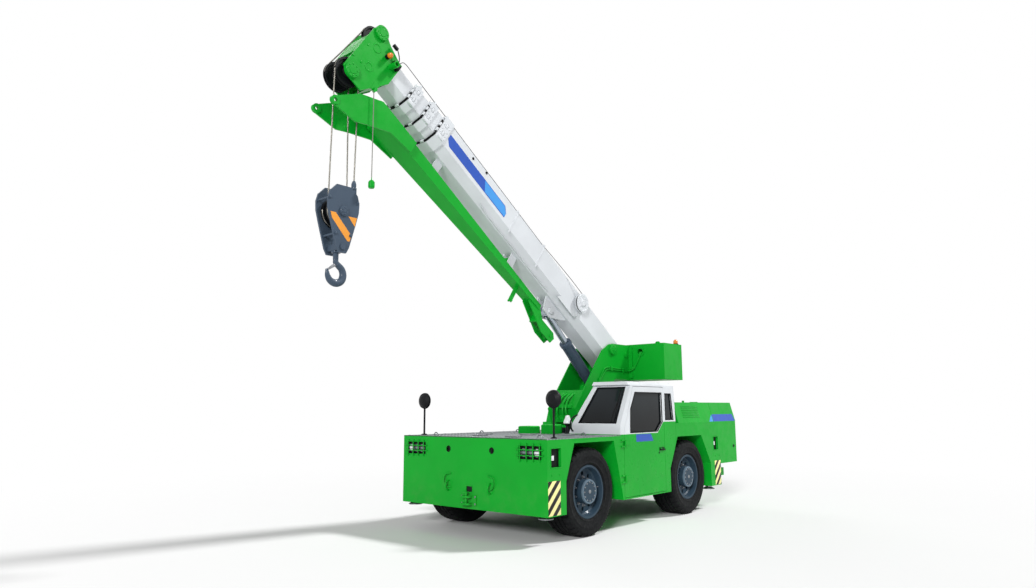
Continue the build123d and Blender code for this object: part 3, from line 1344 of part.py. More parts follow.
def main():
    fixed = {
        "main_frame": main_frame,
        "front_body": front_body,
        "deck": deck,
        "side_tank": side_tank,
        "rear_body": rear_body,
        "engine": engine,
        "hood_front": hood_front,
        "engine_hood": engine_hood,
        "cab_shell": cab_shell,
        "cab_glass": cab_glass,
        "cab_door": cab_door,
        "door_glass": door_glass,
        "operator_seat": operator_seat,
        "dashboard": dashboard,
        "headlamps": headlamps,
        "tow_coupling": tow_coupling,
        "rear_hitch": rear_hitch,
        "slew_ring": slew_ring,
        "turret_frame": turret_frame,
        "counterweight": counterweight,
        "hoist_winch": hoist_winch,
        "lift_barrel": lift_barrel,
        "lift_rod": lift_rod,
        "boom_base": boom_base,
        "boom_head": boom_head,
        "head_sheaves": head_sheaves,
        "jib": jib,
        "cable_reel": cable_reel,
        "hoist_rope": hoist_rope,
        "hook_block": hook_block,
        "block_sheaves": block_sheaves,
        "hook": hook,
        "stop_weight": stop_weight,
    }
    for node, make in fixed.items():
        put(node, make())
    for index in (1, 2, 3):
        put("boom_section_" + str(index + 1), boom_stage(index))
    put("turret_beacon", beacon(790, 1730, COUNTERWEIGHT_Z[1] + SEAT))
    put("mirror_left", mirror_set(1))
    put("mirror_right", mirror_set(-1))
    for end, y in (("front", -AXLE_Y), ("rear", AXLE_Y)):
        put(end + "_axle", axle(y))
        left = {"knuckle": knuckle(y, 1 if y < 0 else -1), "tyre": tyre(y), "rim": rim(y)}
        for node, shape in left.items():
            put(node + "_" + end + "_left", shape)
            put(node + "_" + end + "_right", mirror(shape, Plane.YZ))
    for end, (x, y) in (("front", JACK_FRONT), ("rear", JACK_REAR)):
        put("outrigger_" + end + "_left", outrigger(x, y))
        put("outrigger_" + end + "_right", outrigger(-x, y))


if __name__ == "__main__":
    main()
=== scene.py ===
import json
from math import atan2, cos, pi, radians, sin

import bmesh
import bpy
from bpy.props import FloatProperty, FloatVectorProperty, IntProperty, PointerProperty
from mathutils import Matrix, Vector


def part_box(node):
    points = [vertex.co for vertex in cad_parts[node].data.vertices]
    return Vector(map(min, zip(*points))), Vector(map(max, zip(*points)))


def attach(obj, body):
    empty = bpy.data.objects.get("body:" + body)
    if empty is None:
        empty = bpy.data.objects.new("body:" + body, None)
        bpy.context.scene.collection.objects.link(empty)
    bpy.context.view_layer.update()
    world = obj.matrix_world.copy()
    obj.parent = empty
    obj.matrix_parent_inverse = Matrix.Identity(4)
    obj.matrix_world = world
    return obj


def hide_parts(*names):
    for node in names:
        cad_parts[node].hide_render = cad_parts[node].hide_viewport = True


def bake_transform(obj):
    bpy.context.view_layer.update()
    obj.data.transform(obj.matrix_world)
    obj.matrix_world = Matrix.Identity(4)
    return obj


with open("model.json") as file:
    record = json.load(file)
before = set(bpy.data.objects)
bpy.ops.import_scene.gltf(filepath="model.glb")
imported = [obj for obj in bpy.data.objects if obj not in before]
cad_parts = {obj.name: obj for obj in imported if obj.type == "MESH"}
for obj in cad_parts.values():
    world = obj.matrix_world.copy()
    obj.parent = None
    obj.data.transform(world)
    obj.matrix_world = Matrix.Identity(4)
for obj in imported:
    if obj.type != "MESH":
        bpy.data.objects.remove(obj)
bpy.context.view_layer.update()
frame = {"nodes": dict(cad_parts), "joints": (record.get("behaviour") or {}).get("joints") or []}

bl_info = {
    "name": "Carry-Deck Crane Finish",
    "version": (1, 0, 0),
    "blender": (4, 5, 0),
    "location": "3D View > Sidebar > Crane",
    "description": "Paint, glass, ropes, tyres and fittings for the packed carry-deck crane",
    "category": "Object",
}

# Joints and axes of the boom
JOINTS = {joint["name"]: joint for joint in frame["joints"]}
PIVOT = Vector(JOINTS["luff"]["pos_m"])
ALONG = Vector(JOINTS["telescope"]["axis"])
SQUARE = Vector((0, ALONG.z, -ALONG.y))
HEAD_AXLE = Vector(JOINTS["falls_swing"]["pos_m"])

# Body and wheels, with y from midway between the axles unless it is a face's own
AXLES_MID_Y = 0.83
FRONT_Y = -2.177 + AXLES_MID_Y
TAIL_Y = 2.832 + AXLES_MID_Y
SIDE_X = 1.233
DECK_Z = 1.195
AXLE_REACH = 1.271
WHEEL_X = 0.990
WHEEL_Z = 0.536
WEIGHT_HEIGHT = 0.12
CORNERS = [(end, side) for end in ("front", "rear") for side in ("left", "right")]
WHEEL_NUT_R = 0.169
WHEEL_FACE_OUT = 0.074
HUB_FACE_OUT = 0.1838
LAMP_Z = 1.037
SIDE_RECESSES = ((-2.106, -1.922, 0.873, 1.085), (2.010, 2.160, 0.895, 1.093))

# Feet and slopes of the leaning panes and panels
SCREEN_FOOT = (-0.640, 1.329)
SCREEN_SLOPE = 0.5166
REAR_PANE_FOOT = (0.824, 1.336)
REAR_PANE_SLOPE = 0.0634
INNER_WALL_FOOT = (0.404, 1.195)
INNER_WALL_SLOPE = 0.3688
HOOD_FOOT_Z = 1.3253
HOOD_LEAN = 0.277

# Winch, boom stages and head, with s along the boom and n square to it
DRUM = (0, 1.092, 2.370)
DRUM_R = 0.066
DRUM_WRAPS = 12
BOOM_HALF = 0.220
BOOM_TOP = 0.206
BOOM_UNDER = 0.230
STAGE_STEP = 0.020
COLLAR_PROUD = 0.018
UPPER_AXLE = (5.687, 0.222)
LOWER_AXLE = (5.680, -0.497)
REEL = (1.03, 0.06)
REEL_FACE_X = 0.2203

# Ropes and sheaves; the drops are below the head's lower axle
UPPER_GROOVE_R = 0.122
HEAD_GROOVE_R = 0.152
BLOCK_GROOVE_R = 0.147
ROPE_GAP = 0.0003
HEAD_SHEAVE_X = 0.095
BLOCK_SHEAVE_X = 0.046
BLOCK_DROP = 1.592
SOCKET_DROP = 1.262
HOOK_SEAT_DROP = 1.982
ROPE_TOP_N = 0.275
CABLE_TOP_N = 0.262
CABLE_X = 0.150
LAY = 0.11


def spot(x, y, z):
    """A point given from midway between the axles, in the shared frame."""
    return Vector((x, y + AXLES_MID_Y, z))


def on_boom(s, n, x=0.0):
    """A point s along the boom from its pivot and n square to it."""
    return PIVOT + ALONG * s + SQUARE * n + Vector((x, 0, 0))


def hood_side(z):
    """How far out the leaning side of the engine cover is at a height."""
    return SIDE_X - (z - HOOD_FOOT_Z) * HOOD_LEAN


def shade(red, green, blue):
    """A colour as seen on screen, 0 to 255, in the linear values that shaders take."""
    linear = []
    for value in (red, green, blue):
        part = value / 255
        linear.append(part / 12.92 if part <= 0.04045 else ((part + 0.055) / 1.055) ** 2.4)
    return tuple(linear)


# Materials
class Finish:
    """One material, with its node tree built a step at a time on object coordinates."""

    def __init__(self, name, rough=0.5, metallic=0.0, coat=0.0):
        self.material = bpy.data.materials.new(name)
        self.material.use_nodes = True
        self.tree = self.material.node_tree
        self.shader = self.tree.nodes["Principled BSDF"]
        self.shader.inputs["Roughness"].default_value = rough
        self.shader.inputs["Metallic"].default_value = metallic
        self.shader.inputs["Coat Weight"].default_value = coat
        self.shader.inputs["Coat Roughness"].default_value = 0.12
        self.shader.inputs["Specular IOR Level"].default_value = 0.14
        self.coords = self.tree.nodes.new("ShaderNodeTexCoord")
        self.place = self.coords.outputs["Object"]

    def plug(self, value, socket):
        if hasattr(value, "is_linked"):
            self.tree.links.new(value, socket)
        else:
            socket.default_value = value

    def math(self, operation, first, second=0.0, third=0.0):
        node = self.tree.nodes.new("ShaderNodeMath")
        node.operation = operation
        for value, socket in zip((first, second, third), node.inputs):
            self.plug(value, socket)
        return node.outputs[0]

    def axes(self):
        node = self.tree.nodes.new("ShaderNodeSeparateXYZ")
        self.tree.links.new(self.place, node.inputs[0])
        return node.outputs["X"], node.outputs["Y"], node.outputs["Z"]

    def stretched(self, scale, turn=(0, 0, 0)):
        node = self.tree.nodes.new("ShaderNodeMapping")
        self.tree.links.new(self.place, node.inputs["Vector"])
        node.inputs["Scale"].default_value = scale
        node.inputs["Rotation"].default_value = turn
        return node.outputs["Vector"]

    def noise(self, scale, detail=4.0, rough=0.55, vector=None):
        node = self.tree.nodes.new("ShaderNodeTexNoise")
        self.tree.links.new(vector or self.place, node.inputs["Vector"])
        node.inputs["Scale"].default_value = scale
        node.inputs["Detail"].default_value = detail
        node.inputs["Roughness"].default_value = rough
        return node.outputs["Fac"]

    def span(self, value, low, high, to_low=0.0, to_high=1.0):
        node = self.tree.nodes.new("ShaderNodeMapRange")
        node.interpolation_type = "SMOOTHSTEP"
        self.tree.links.new(value, node.inputs["Value"])
        for name, number in (
            ("From Min", low), ("From Max", high), ("To Min", to_low), ("To Max", to_high)
        ):
            node.inputs[name].default_value = number
        return node.outputs["Result"]

    def blend(self, share, first, second):
        node = self.tree.nodes.new("ShaderNodeMix")
        node.data_type = "RGBA"
        self.plug(share, node.inputs["Factor"])
        for value, socket in ((first, node.inputs[6]), (second, node.inputs[7])):
            self.plug(value if hasattr(value, "is_linked") else (*value, 1), socket)
        return node.outputs[2]

    def colour(self, value):
        self.plug(value if hasattr(value, "is_linked") else (*value, 1), self.shader.inputs["Base Color"])

    def rough(self, value):
        self.plug(value, self.shader.inputs["Roughness"])

    def bump(self, height, distance, strength=0.5):
        node = self.tree.nodes.new("ShaderNodeBump")
        node.inputs["Strength"].default_value = strength
        node.inputs["Distance"].default_value = distance
        self.tree.links.new(height, node.inputs["Height"])
        self.tree.links.new(node.outputs["Normal"], self.shader.inputs["Normal"])


def darker(colour, share):
    return tuple(value * share for value in colour)


def weathered(finish, colour, dust=True):
    """Slight shade changes, faint run marks, and road dust that thickens towards the ground."""
    cloud = finish.span(finish.noise(1.7, 3), 0.35, 0.68)
    toned = finish.blend(cloud, darker(colour, 0.95), darker(colour, 1.03))
    runs = finish.noise(1.0, 3, 0.6, finish.stretched((16, 16, 1.3)))
    streaked = finish.blend(finish.span(runs, 0.6, 0.85, 0, 0.07), toned, darker(colour, 0.7))
    if dust:
        height = finish.span(finish.axes()[2], 0.25, 1.0, 1, 0)
        spread = finish.span(finish.noise(7, 5, 0.65), 0.4, 0.75)
        amount = finish.math("MULTIPLY", finish.math("MULTIPLY", height, spread), 0.09)
        streaked = finish.blend(amount, streaked, shade(128, 122, 104))
    return streaked


def painted(name, colour, rough=0.36, coat=0.03, dust=True):
    finish = Finish(name, rough, 0.0, coat)
    finish.colour(weathered(finish, colour, dust))
    finish.rough(finish.span(finish.noise(9, 4), 0.3, 0.7, rough - 0.06, rough + 0.12))
    finish.bump(finish.noise(40, 2), 0.0003, 0.15)
    return finish.material


def two_tone_cab(green, white):
    """White above a line that steps up behind the door window, green below it."""
    finish = Finish("cab_two_tone_paint", 0.34, 0.0, 0.03)
    y, z = finish.axes()[1:]
    rise = finish.math("MULTIPLY_ADD", finish.math("SUBTRACT", y, 0.308 + AXLES_MID_Y), 0.92, 1.204)
    line = finish.math("MINIMUM", finish.math("MAXIMUM", rise, 1.204), 1.352)
    above = finish.span(finish.math("SUBTRACT", z, line), -0.001, 0.001)
    low = weathered(finish, green)
    high = weathered(finish, white, False)
    finish.colour(finish.blend(above, low, high))
    finish.rough(finish.span(finish.noise(9, 4), 0.3, 0.7, 0.25, 0.42))
    finish.bump(finish.noise(40, 2), 0.0003, 0.15)
    return finish.material


def lozenge_height(finish, pitch):
    """Raised lozenges that lie alternately along the two diagonals, as on tread plate."""
    x, y = finish.axes()[:2]
    across = finish.math("DIVIDE", finish.math("ADD", x, y), pitch)
    down = finish.math("DIVIDE", finish.math("SUBTRACT", x, y), pitch)
    cell = finish.math("ADD", finish.math("FLOOR", across), finish.math("FLOOR", down))
    odd = finish.math("MODULO", finish.math("ABSOLUTE", cell), 2)
    u = finish.math("SUBTRACT", finish.math("FRACT", across), 0.5)
    v = finish.math("SUBTRACT", finish.math("FRACT", down), 0.5)
    even = finish.math("SUBTRACT", 1, odd)
    long_way = finish.math("ADD", finish.math("MULTIPLY", u, odd), finish.math("MULTIPLY", v, even))
    short_way = finish.math("ADD", finish.math("MULTIPLY", v, odd), finish.math("MULTIPLY", u, even))
    reach = finish.math("POWER", finish.math("DIVIDE", long_way, 0.46), 2)
    width = finish.math("POWER", finish.math("DIVIDE", short_way, 0.14), 2)
    return finish.span(finish.math("ADD", reach, width), 0.7, 1.15, 1, 0)


def tread_plate(green):
    """Grey worn tread plate; the two tool lockers by the turret are body green."""
    finish = Finish("deck_tread_plate", 0.5, 0.35)
    raised = lozenge_height(finish, 0.062)
    grime = finish.span(finish.noise(4, 5, 0.65), 0.35, 0.7)
    low = finish.blend(grime, shade(92, 98, 102), shade(126, 132, 134))
    worn = finish.blend(
        finish.span(finish.noise(11, 4), 0.4, 0.7), shade(150, 156, 158), shade(178, 184, 186)
    )
    plate = finish.blend(finish.math("MULTIPLY", raised, 0.7), low, worn)
    x, y, z = finish.axes()
    locker = finish.math("MULTIPLY", finish.span(z, 1.1985, 1.199), finish.span(y, -0.031, -0.03))
    locker = finish.math("MULTIPLY", locker, finish.span(x, -0.5, -0.499))
    finish.colour(finish.blend(locker, plate, weathered(finish, green, False)))
    flat = finish.math("SUBTRACT", 1, finish.span(z, 1.1965, 1.198))
    finish.rough(finish.span(raised, 0, 1, 0.55, 0.36))
    finish.bump(finish.math("MULTIPLY", raised, flat), 0.003, 0.9)
    return finish.material


def hung_weight(green):
    """The small green weight under the head, on its bare grey line."""
    finish = Finish("weight_paint_and_line", 0.45)
    weight_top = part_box("stop_weight")[0].z + WEIGHT_HEIGHT
    above = finish.span(finish.axes()[2], weight_top, weight_top + 0.002)
    finish.colour(finish.blend(above, green, shade(128, 126, 120)))
    return finish.material


def rubber():
    finish = Finish("tyre_rubber", 0.82)
    dusty = finish.span(finish.noise(6, 5, 0.7), 0.42, 0.75)
    base = finish.blend(dusty, shade(8, 10, 12), shade(18, 20, 22))
    grit = finish.math("MULTIPLY", finish.span(finish.noise(42, 3), 0.5, 0.8), 0.25)
    finish.colour(finish.blend(grit, base, shade(38, 38, 36)))
    finish.shader.inputs["Specular IOR Level"].default_value = 0.18
    finish.rough(finish.span(finish.noise(30, 4), 0.3, 0.7, 0.7, 0.92))
    finish.bump(finish.noise(160, 3), 0.001, 0.5)
    return finish.material


def dark_glass(tint):
    """Tinted panes, lighter towards the roof as a painted reflection of the open sky."""
    finish = Finish("tinted_glass", 0.06, 0.0, 0.06)
    # Painted reflection: the colour goes from the tint to a lighter grey with height, with a wavy edge,
    # standing in for the sky seen in the glass.
    height = finish.span(
        finish.math("ADD", finish.axes()[2], finish.math("MULTIPLY", finish.noise(1.6, 2), 0.25)),
        1.35,
        1.95,
    )
    finish.colour(finish.blend(height, tint, darker(tint, 4.5)))
    finish.rough(finish.span(finish.noise(5, 5, 0.7), 0.4, 0.8, 0.04, 0.16))
    return finish.material


def bare_metal(name, colour, rough, stretch=(1, 1, 1)):
    finish = Finish(name, rough, 0.9)
    grain = finish.noise(60, 4, 0.6, finish.stretched(stretch))
    finish.colour(finish.blend(grain, darker(colour, 0.72), darker(colour, 1.12)))
    finish.rough(finish.span(grain, 0.3, 0.7, rough - 0.08, rough + 0.14))
    finish.bump(grain, 0.0004, 0.3)
    return finish.material


def moulded(name, colour, rough=0.55):
    finish = Finish(name, rough)
    finish.colour(finish.blend(finish.noise(14, 4), darker(colour, 0.8), darker(colour, 1.25)))
    finish.bump(finish.noise(420, 2), 0.0004, 0.5)
    return finish.material


def lens(name, colour, glow=0.0):
    """Pressed lamp glass with fine ribs moulded in it."""
    finish = Finish(name, 0.12, 0.0, 1.0)
    ribs = finish.math("SINE", finish.math("MULTIPLY", finish.axes()[2], 700))
    finish.colour(finish.blend(finish.span(ribs, -1, 1), darker(colour, 0.7), colour))
    finish.bump(finish.span(ribs, -1, 1), 0.0012, 0.6)
    if glow:
        finish.shader.inputs["Emission Color"].default_value = (*colour, 1)
        finish.shader.inputs["Emission Strength"].default_value = glow
    return finish.material


def hazard(name, light, dark, pitch, slope=1.0):
    """Diagonal warning bars on an upright plate that faces sideways."""
    finish = Finish(name, 0.38, 0.0, 0.2)
    y, z = finish.axes()[1:]
    slant = finish.math("SUBTRACT", z, finish.math("MULTIPLY", y, slope))
    bar = finish.math("FRACT", finish.math("DIVIDE", slant, pitch))
    edge = finish.math("MULTIPLY", finish.span(bar, 0.0, 0.02), finish.span(bar, 0.5, 0.52, 1, 0))
    scuff = finish.span(finish.noise(34, 5, 0.7), 0.56, 0.7, 0, 0.35)
    clean = finish.blend(edge, light, dark)
    finish.colour(finish.blend(scuff, clean, shade(112, 108, 92)))
    finish.rough(finish.span(finish.noise(12, 4), 0.3, 0.7, 0.3, 0.5))
    return finish.material


def wire_rope():
    """Bright wire rope whose strands wind round it, drawn on the rope's own UV map."""
    finish = Finish("wire_rope", 0.42, 0.75)
    node = finish.tree.nodes.new("ShaderNodeSeparateXYZ")
    finish.tree.links.new(finish.coords.outputs["UV"], node.inputs[0])
    round_it, along_it = node.outputs["X"], node.outputs["Y"]
    wind = finish.math("ADD", finish.math("MULTIPLY", round_it, 6), finish.math("MULTIPLY", along_it, 1.0))
    strand = finish.math("SINE", finish.math("MULTIPLY", wind, 2 * pi))
    hump = finish.span(strand, -1, 1)
    finish.colour(finish.blend(hump, shade(70, 68, 64), shade(176, 172, 162)))
    finish.bump(hump, 0.002, 0.8)
    return finish.material


def cloth_cover():
    """Woven seat cover, with a fine two-way weave."""
    finish = Finish("seat_fabric", 0.9)
    x, y, z = finish.axes()
    warp = finish.math("SINE", finish.math("MULTIPLY", finish.math("ADD", x, z), 1500))
    weft = finish.math("SINE", finish.math("MULTIPLY", finish.math("ADD", y, z), 1500))
    weave = finish.span(finish.math("MULTIPLY", warp, weft), -1, 1)
    finish.colour(finish.blend(weave, shade(26, 28, 32), shade(52, 55, 61)))
    finish.shader.inputs["Sheen Weight"].default_value = 0.3
    finish.bump(weave, 0.0006, 0.7)
    return finish.material


# Modelling helpers
def deselect_all():
    if bpy.context.mode != "OBJECT":
        bpy.ops.object.mode_set(mode="OBJECT")
    bpy.ops.object.select_all(action="DESELECT")


def edit(piece, parts="FACE"):
    bpy.context.view_layer.objects.active = piece
    bpy.ops.object.mode_set(mode="EDIT")
    bpy.ops.mesh.select_mode(type=parts)


def leave_edit():
    bpy.ops.object.mode_set(mode="OBJECT")


def pick(piece, test, parts="faces"):
    """Selects the faces or edges of the piece in edit mode for which test is true."""
    mesh = bmesh.from_edit_mesh(piece.data)
    bpy.ops.mesh.select_all(action="DESELECT")
    for item in getattr(mesh, parts):
        item.select_set(bool(test(item)))
    bmesh.update_edit_mesh(piece.data)


def place_in_mesh(piece):
    bpy.context.view_layer.objects.active = piece
    piece.select_set(True)
    bpy.ops.object.transform_apply(location=True, rotation=True, scale=True)


def softened(piece, size, segments=2, angle=35):
    """Rounds the sharp edges of a piece with a bevel that is applied."""
    bpy.context.view_layer.objects.active = piece
    bevel = piece.modifiers.new("edges", "BEVEL")
    bevel.width = size
    bevel.segments = segments
    bevel.limit_method = "ANGLE"
    bevel.angle_limit = radians(angle)
    bpy.ops.object.modifier_apply(modifier=bevel.name)
    return piece


def settle(piece, name, material, body, angle=35):
    """Names a finished piece, smooths it, gives it its material and lets it ride on its body."""
    place_in_mesh(piece)
    piece.name = name
    piece.data.name = name
    piece.data.materials.clear()
    piece.data.materials.append(material)
    bpy.ops.object.shade_smooth_by_angle(angle=radians(angle))
    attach(piece, body)
    deselect_all()
    return piece


def bar(low, high, round_off=0.003):
    """A square bar between two corners, with its edges bevelled in edit mode."""
    deselect_all()
    low, high = Vector(low), Vector(high)
    bpy.ops.mesh.primitive_cube_add(size=1, location=(low + high) / 2)
    piece = bpy.context.object
    piece.scale = [abs(value) for value in high - low]
    place_in_mesh(piece)
    edit(piece, "EDGE")
    bpy.ops.mesh.select_all(action="SELECT")
    bpy.ops.mesh.bevel(offset=round_off, segments=2, affect="EDGES")
    leave_edit()
    return piece


def rod(start, end, radius, sides=24, round_off=0.002):
    """A round bar between two points, with its rims bevelled."""
    deselect_all()
    start, end = Vector(start), Vector(end)
    line = end - start
    bpy.ops.mesh.primitive_cylinder_add(
        vertices=sides, radius=radius, depth=line.length, location=(start + end) / 2
    )
    piece = bpy.context.object
    piece.rotation_euler = line.to_track_quat("Z", "Y").to_euler()
    place_in_mesh(piece)
    return softened(piece, round_off, 2, 50)


def drawn(points, closed=True):
    """An outline drawn point by point, as by hand, and filled when it is closed."""
    deselect_all()
    points = [Vector(point) for point in points]
    bpy.ops.mesh.primitive_plane_add(size=0.01, location=points[0])
    piece = bpy.context.object
    place_in_mesh(piece)
    edit(piece, "VERT")
    bpy.ops.mesh.select_all(action="SELECT")
    bpy.ops.mesh.merge(type="CENTER")
    for before, after in zip(points, points[1:]):
        bpy.ops.mesh.extrude_region_move(TRANSFORM_OT_translate={"value": after - before})
    if closed:
        bpy.ops.mesh.select_all(action="SELECT")
        bpy.ops.mesh.edge_face_add()
    leave_edit()
    return piece


def cut_plate(points, depth, round_off=0.002):
    """A plate of any outline, pushed out by the vector depth, with its edges rounded."""
    piece = drawn(points)
    edit(piece)
    bpy.ops.mesh.select_all(action="SELECT")
    bpy.ops.mesh.extrude_region_move(TRANSFORM_OT_translate={"value": Vector(depth)})
    bpy.ops.mesh.select_all(action="SELECT")
    bpy.ops.mesh.normals_make_consistent(inside=False)
    leave_edit()
    return softened(piece, round_off) if round_off else piece


def turned(points, centre, axis, steps=48):
    """A profile drawn as an open line and spun once round an axis."""
    piece = drawn(points, closed=False)
    edit(piece, "VERT")
    bpy.ops.mesh.select_all(action="SELECT")
    bpy.ops.mesh.spin(steps=steps, angle=2 * pi, center=centre, axis=axis)
    bpy.ops.mesh.select_all(action="SELECT")
    bpy.ops.mesh.remove_doubles(threshold=0.0002)
    bpy.ops.mesh.select_all(action="SELECT")
    bpy.ops.mesh.normals_make_consistent(inside=False)
    leave_edit()
    return piece


def tube(points, radius, sides=3, smoothness=6):
    """A hose, pipe or rope on one smooth line through a few control points, made a mesh."""
    deselect_all()
    curve = bpy.data.curves.new("line", "CURVE")
    curve.dimensions = "3D"
    line = curve.splines.new("NURBS")
    line.points.add(len(points) - 1)
    for knot, point in zip(line.points, points):
        knot.co = (*point, 1)
    line.order_u = 3
    line.use_endpoint_u = True
    curve.resolution_u = smoothness
    curve.bevel_depth = radius
    curve.bevel_resolution = sides
    curve.use_fill_caps = True
    piece = bpy.data.objects.new("line", curve)
    bpy.context.scene.collection.objects.link(piece)
    piece.select_set(True)
    bpy.context.view_layer.objects.active = piece
    bpy.ops.object.convert(target="MESH")
    return bpy.context.object


def copied(piece, moves):
    """Copies of a piece, each with its own mesh, moved by matrices; the first stays."""
    made = [piece]
    for move in moves:
        other = piece.copy()
        other.data = piece.data.copy()
        other.data.transform(move)
        if move.determinant() < 0:
            other.data.flip_normals()
        bpy.context.scene.collection.objects.link(other)
        made.append(other)
    return made


def joined(pieces):
    deselect_all()
    for piece in pieces:
        piece.select_set(True)
    bpy.context.view_layer.objects.active = pieces[0]
    if len(pieces) > 1:
        bpy.ops.object.join()
    return bpy.context.view_layer.objects.active


MIRROR = Matrix.Scale(-1, 4, Vector((1, 0, 0)))


def hex_bolt(centre, out, radius, height):
    """A hexagon bolt head on its washer, standing out from a face."""
    centre, out = Vector(centre), Vector(out).normalized()
    head = rod(centre, centre + out * height, radius, 6, radius * 0.12)
    washer = rod(centre, centre + out * height * 0.25, radius * 1.35, 18, radius * 0.08)
    return joined([head, washer])


def bolt_group(centres, out, radius, height):
    """The same bolt at each of several places."""
    first = hex_bolt(centres[0], out, radius, height)
    start = Vector(centres[0])
    return joined(copied(first, [Matrix.Translation(Vector(place) - start) for place in centres[1:]]))


def ring_of(piece, centre, axis, count):
    """A piece repeated round an axis."""
    centre = Vector(centre)
    turns = []
    for i in range(1, count):
        turn = Matrix.Rotation(2 * pi * i / count, 4, Vector(axis))
        turns.append(Matrix.Translation(centre) @ turn @ Matrix.Translation(-centre))
    return joined(copied(piece, turns))


def dome(centre, out, radius, height, sides=32):
    """A low lens or cap: a sphere cut in half and flattened."""
    deselect_all()
    centre, out = Vector(centre), Vector(out).normalized()
    bpy.ops.mesh.primitive_uv_sphere_add(segments=sides, ring_count=16, radius=radius, location=(0, 0, 0))
    piece = bpy.context.object
    edit(piece)
    bpy.ops.mesh.select_all(action="SELECT")
    bpy.ops.mesh.bisect(plane_co=(0, 0, 0), plane_no=(0, 0, 1), use_fill=True, clear_inner=True)
    leave_edit()
    piece.scale = (1, 1, height / radius)
    piece.rotation_euler = out.to_track_quat("Z", "Y").to_euler()
    piece.location = centre
    place_in_mesh(piece)
    return piece


def framed(points, width, depth, round_off=0.002):
    """A flat frame: an outline inset in edit mode, its middle removed and the rest thickened."""
    piece = drawn(points)
    edit(piece)
    bpy.ops.mesh.select_all(action="SELECT")
    bpy.ops.mesh.inset(thickness=width)
    bpy.ops.mesh.delete(type="FACE")
    bpy.ops.mesh.select_all(action="SELECT")
    bpy.ops.mesh.extrude_region_move(TRANSFORM_OT_translate={"value": Vector(depth)})
    bpy.ops.mesh.select_all(action="SELECT")
    bpy.ops.mesh.normals_make_consistent(inside=False)
    leave_edit()
    return softened(piece, round_off)


FINISHES = {}


def finish_of(name):
    return FINISHES[name]


# Settings
class CranePaint(bpy.types.PropertyGroup):
    body: FloatVectorProperty(
        name="Body",
        description="Paint of the body, turret, jib and head",
        subtype="COLOR",
        default=shade(8, 158, 40),
    )
    boom: FloatVectorProperty(
        name="Boom",
        description="Paint of the boom and upper cab",
        subtype="COLOR",
        default=shade(212, 216, 220),
    )
    slate: FloatVectorProperty(
        name="Running gear",
        description="Paint of rims, axles, lift cylinder and hook block",
        subtype="COLOR",
        default=shade(66, 80, 96),
    )
    glass: FloatVectorProperty(
        name="Glass tint",
        description="Colour of the tinted cab glass",
        subtype="COLOR",
        default=shade(11, 14, 16),
    )
    band: FloatVectorProperty(
        name="Boom band",
        description="Plain band along the boom",
        subtype="COLOR",
        default=shade(44, 84, 178),
    )


class CraneTyres(bpy.types.PropertyGroup):
    steps: IntProperty(name="Steps", description="Segments round each tyre", default=132, min=36)
    lug_depth: FloatProperty(
        name="Lug depth",
        description="Depth of the cross grooves in the shoulders",
        unit="LENGTH",
        default=0.008,
    )
    wheel_nuts: IntProperty(name="Wheel nuts", description="Nuts that hold each wheel", default=10, min=4)


class CraneRope(bpy.types.PropertyGroup):
    radius: FloatProperty(
        name="Rope radius", description="Half the thickness of the hoist rope", unit="LENGTH", default=0.008
    )
    cable: FloatProperty(
        name="Cable radius",
        description="Half the thickness of the limit switch cable",
        unit="LENGTH",
        default=0.004,
    )


class CraneStage(bpy.types.PropertyGroup):
    floor: FloatVectorProperty(
        name="Floor", description="Colour of the plain floor", subtype="COLOR", default=(0.86, 0.86, 0.86)
    )
    key: FloatProperty(
        name="Key light", description="Strength of the sun in front of the crane", default=2.1
    )
    fill: FloatProperty(
        name="Sky light", description="Strength of the plain white surroundings", default=0.24
    )


GROUPS = (CranePaint, CraneTyres, CraneRope, CraneStage)
GROUP_NAMES = ("crane_paint", "crane_tyres", "crane_rope", "crane_stage")


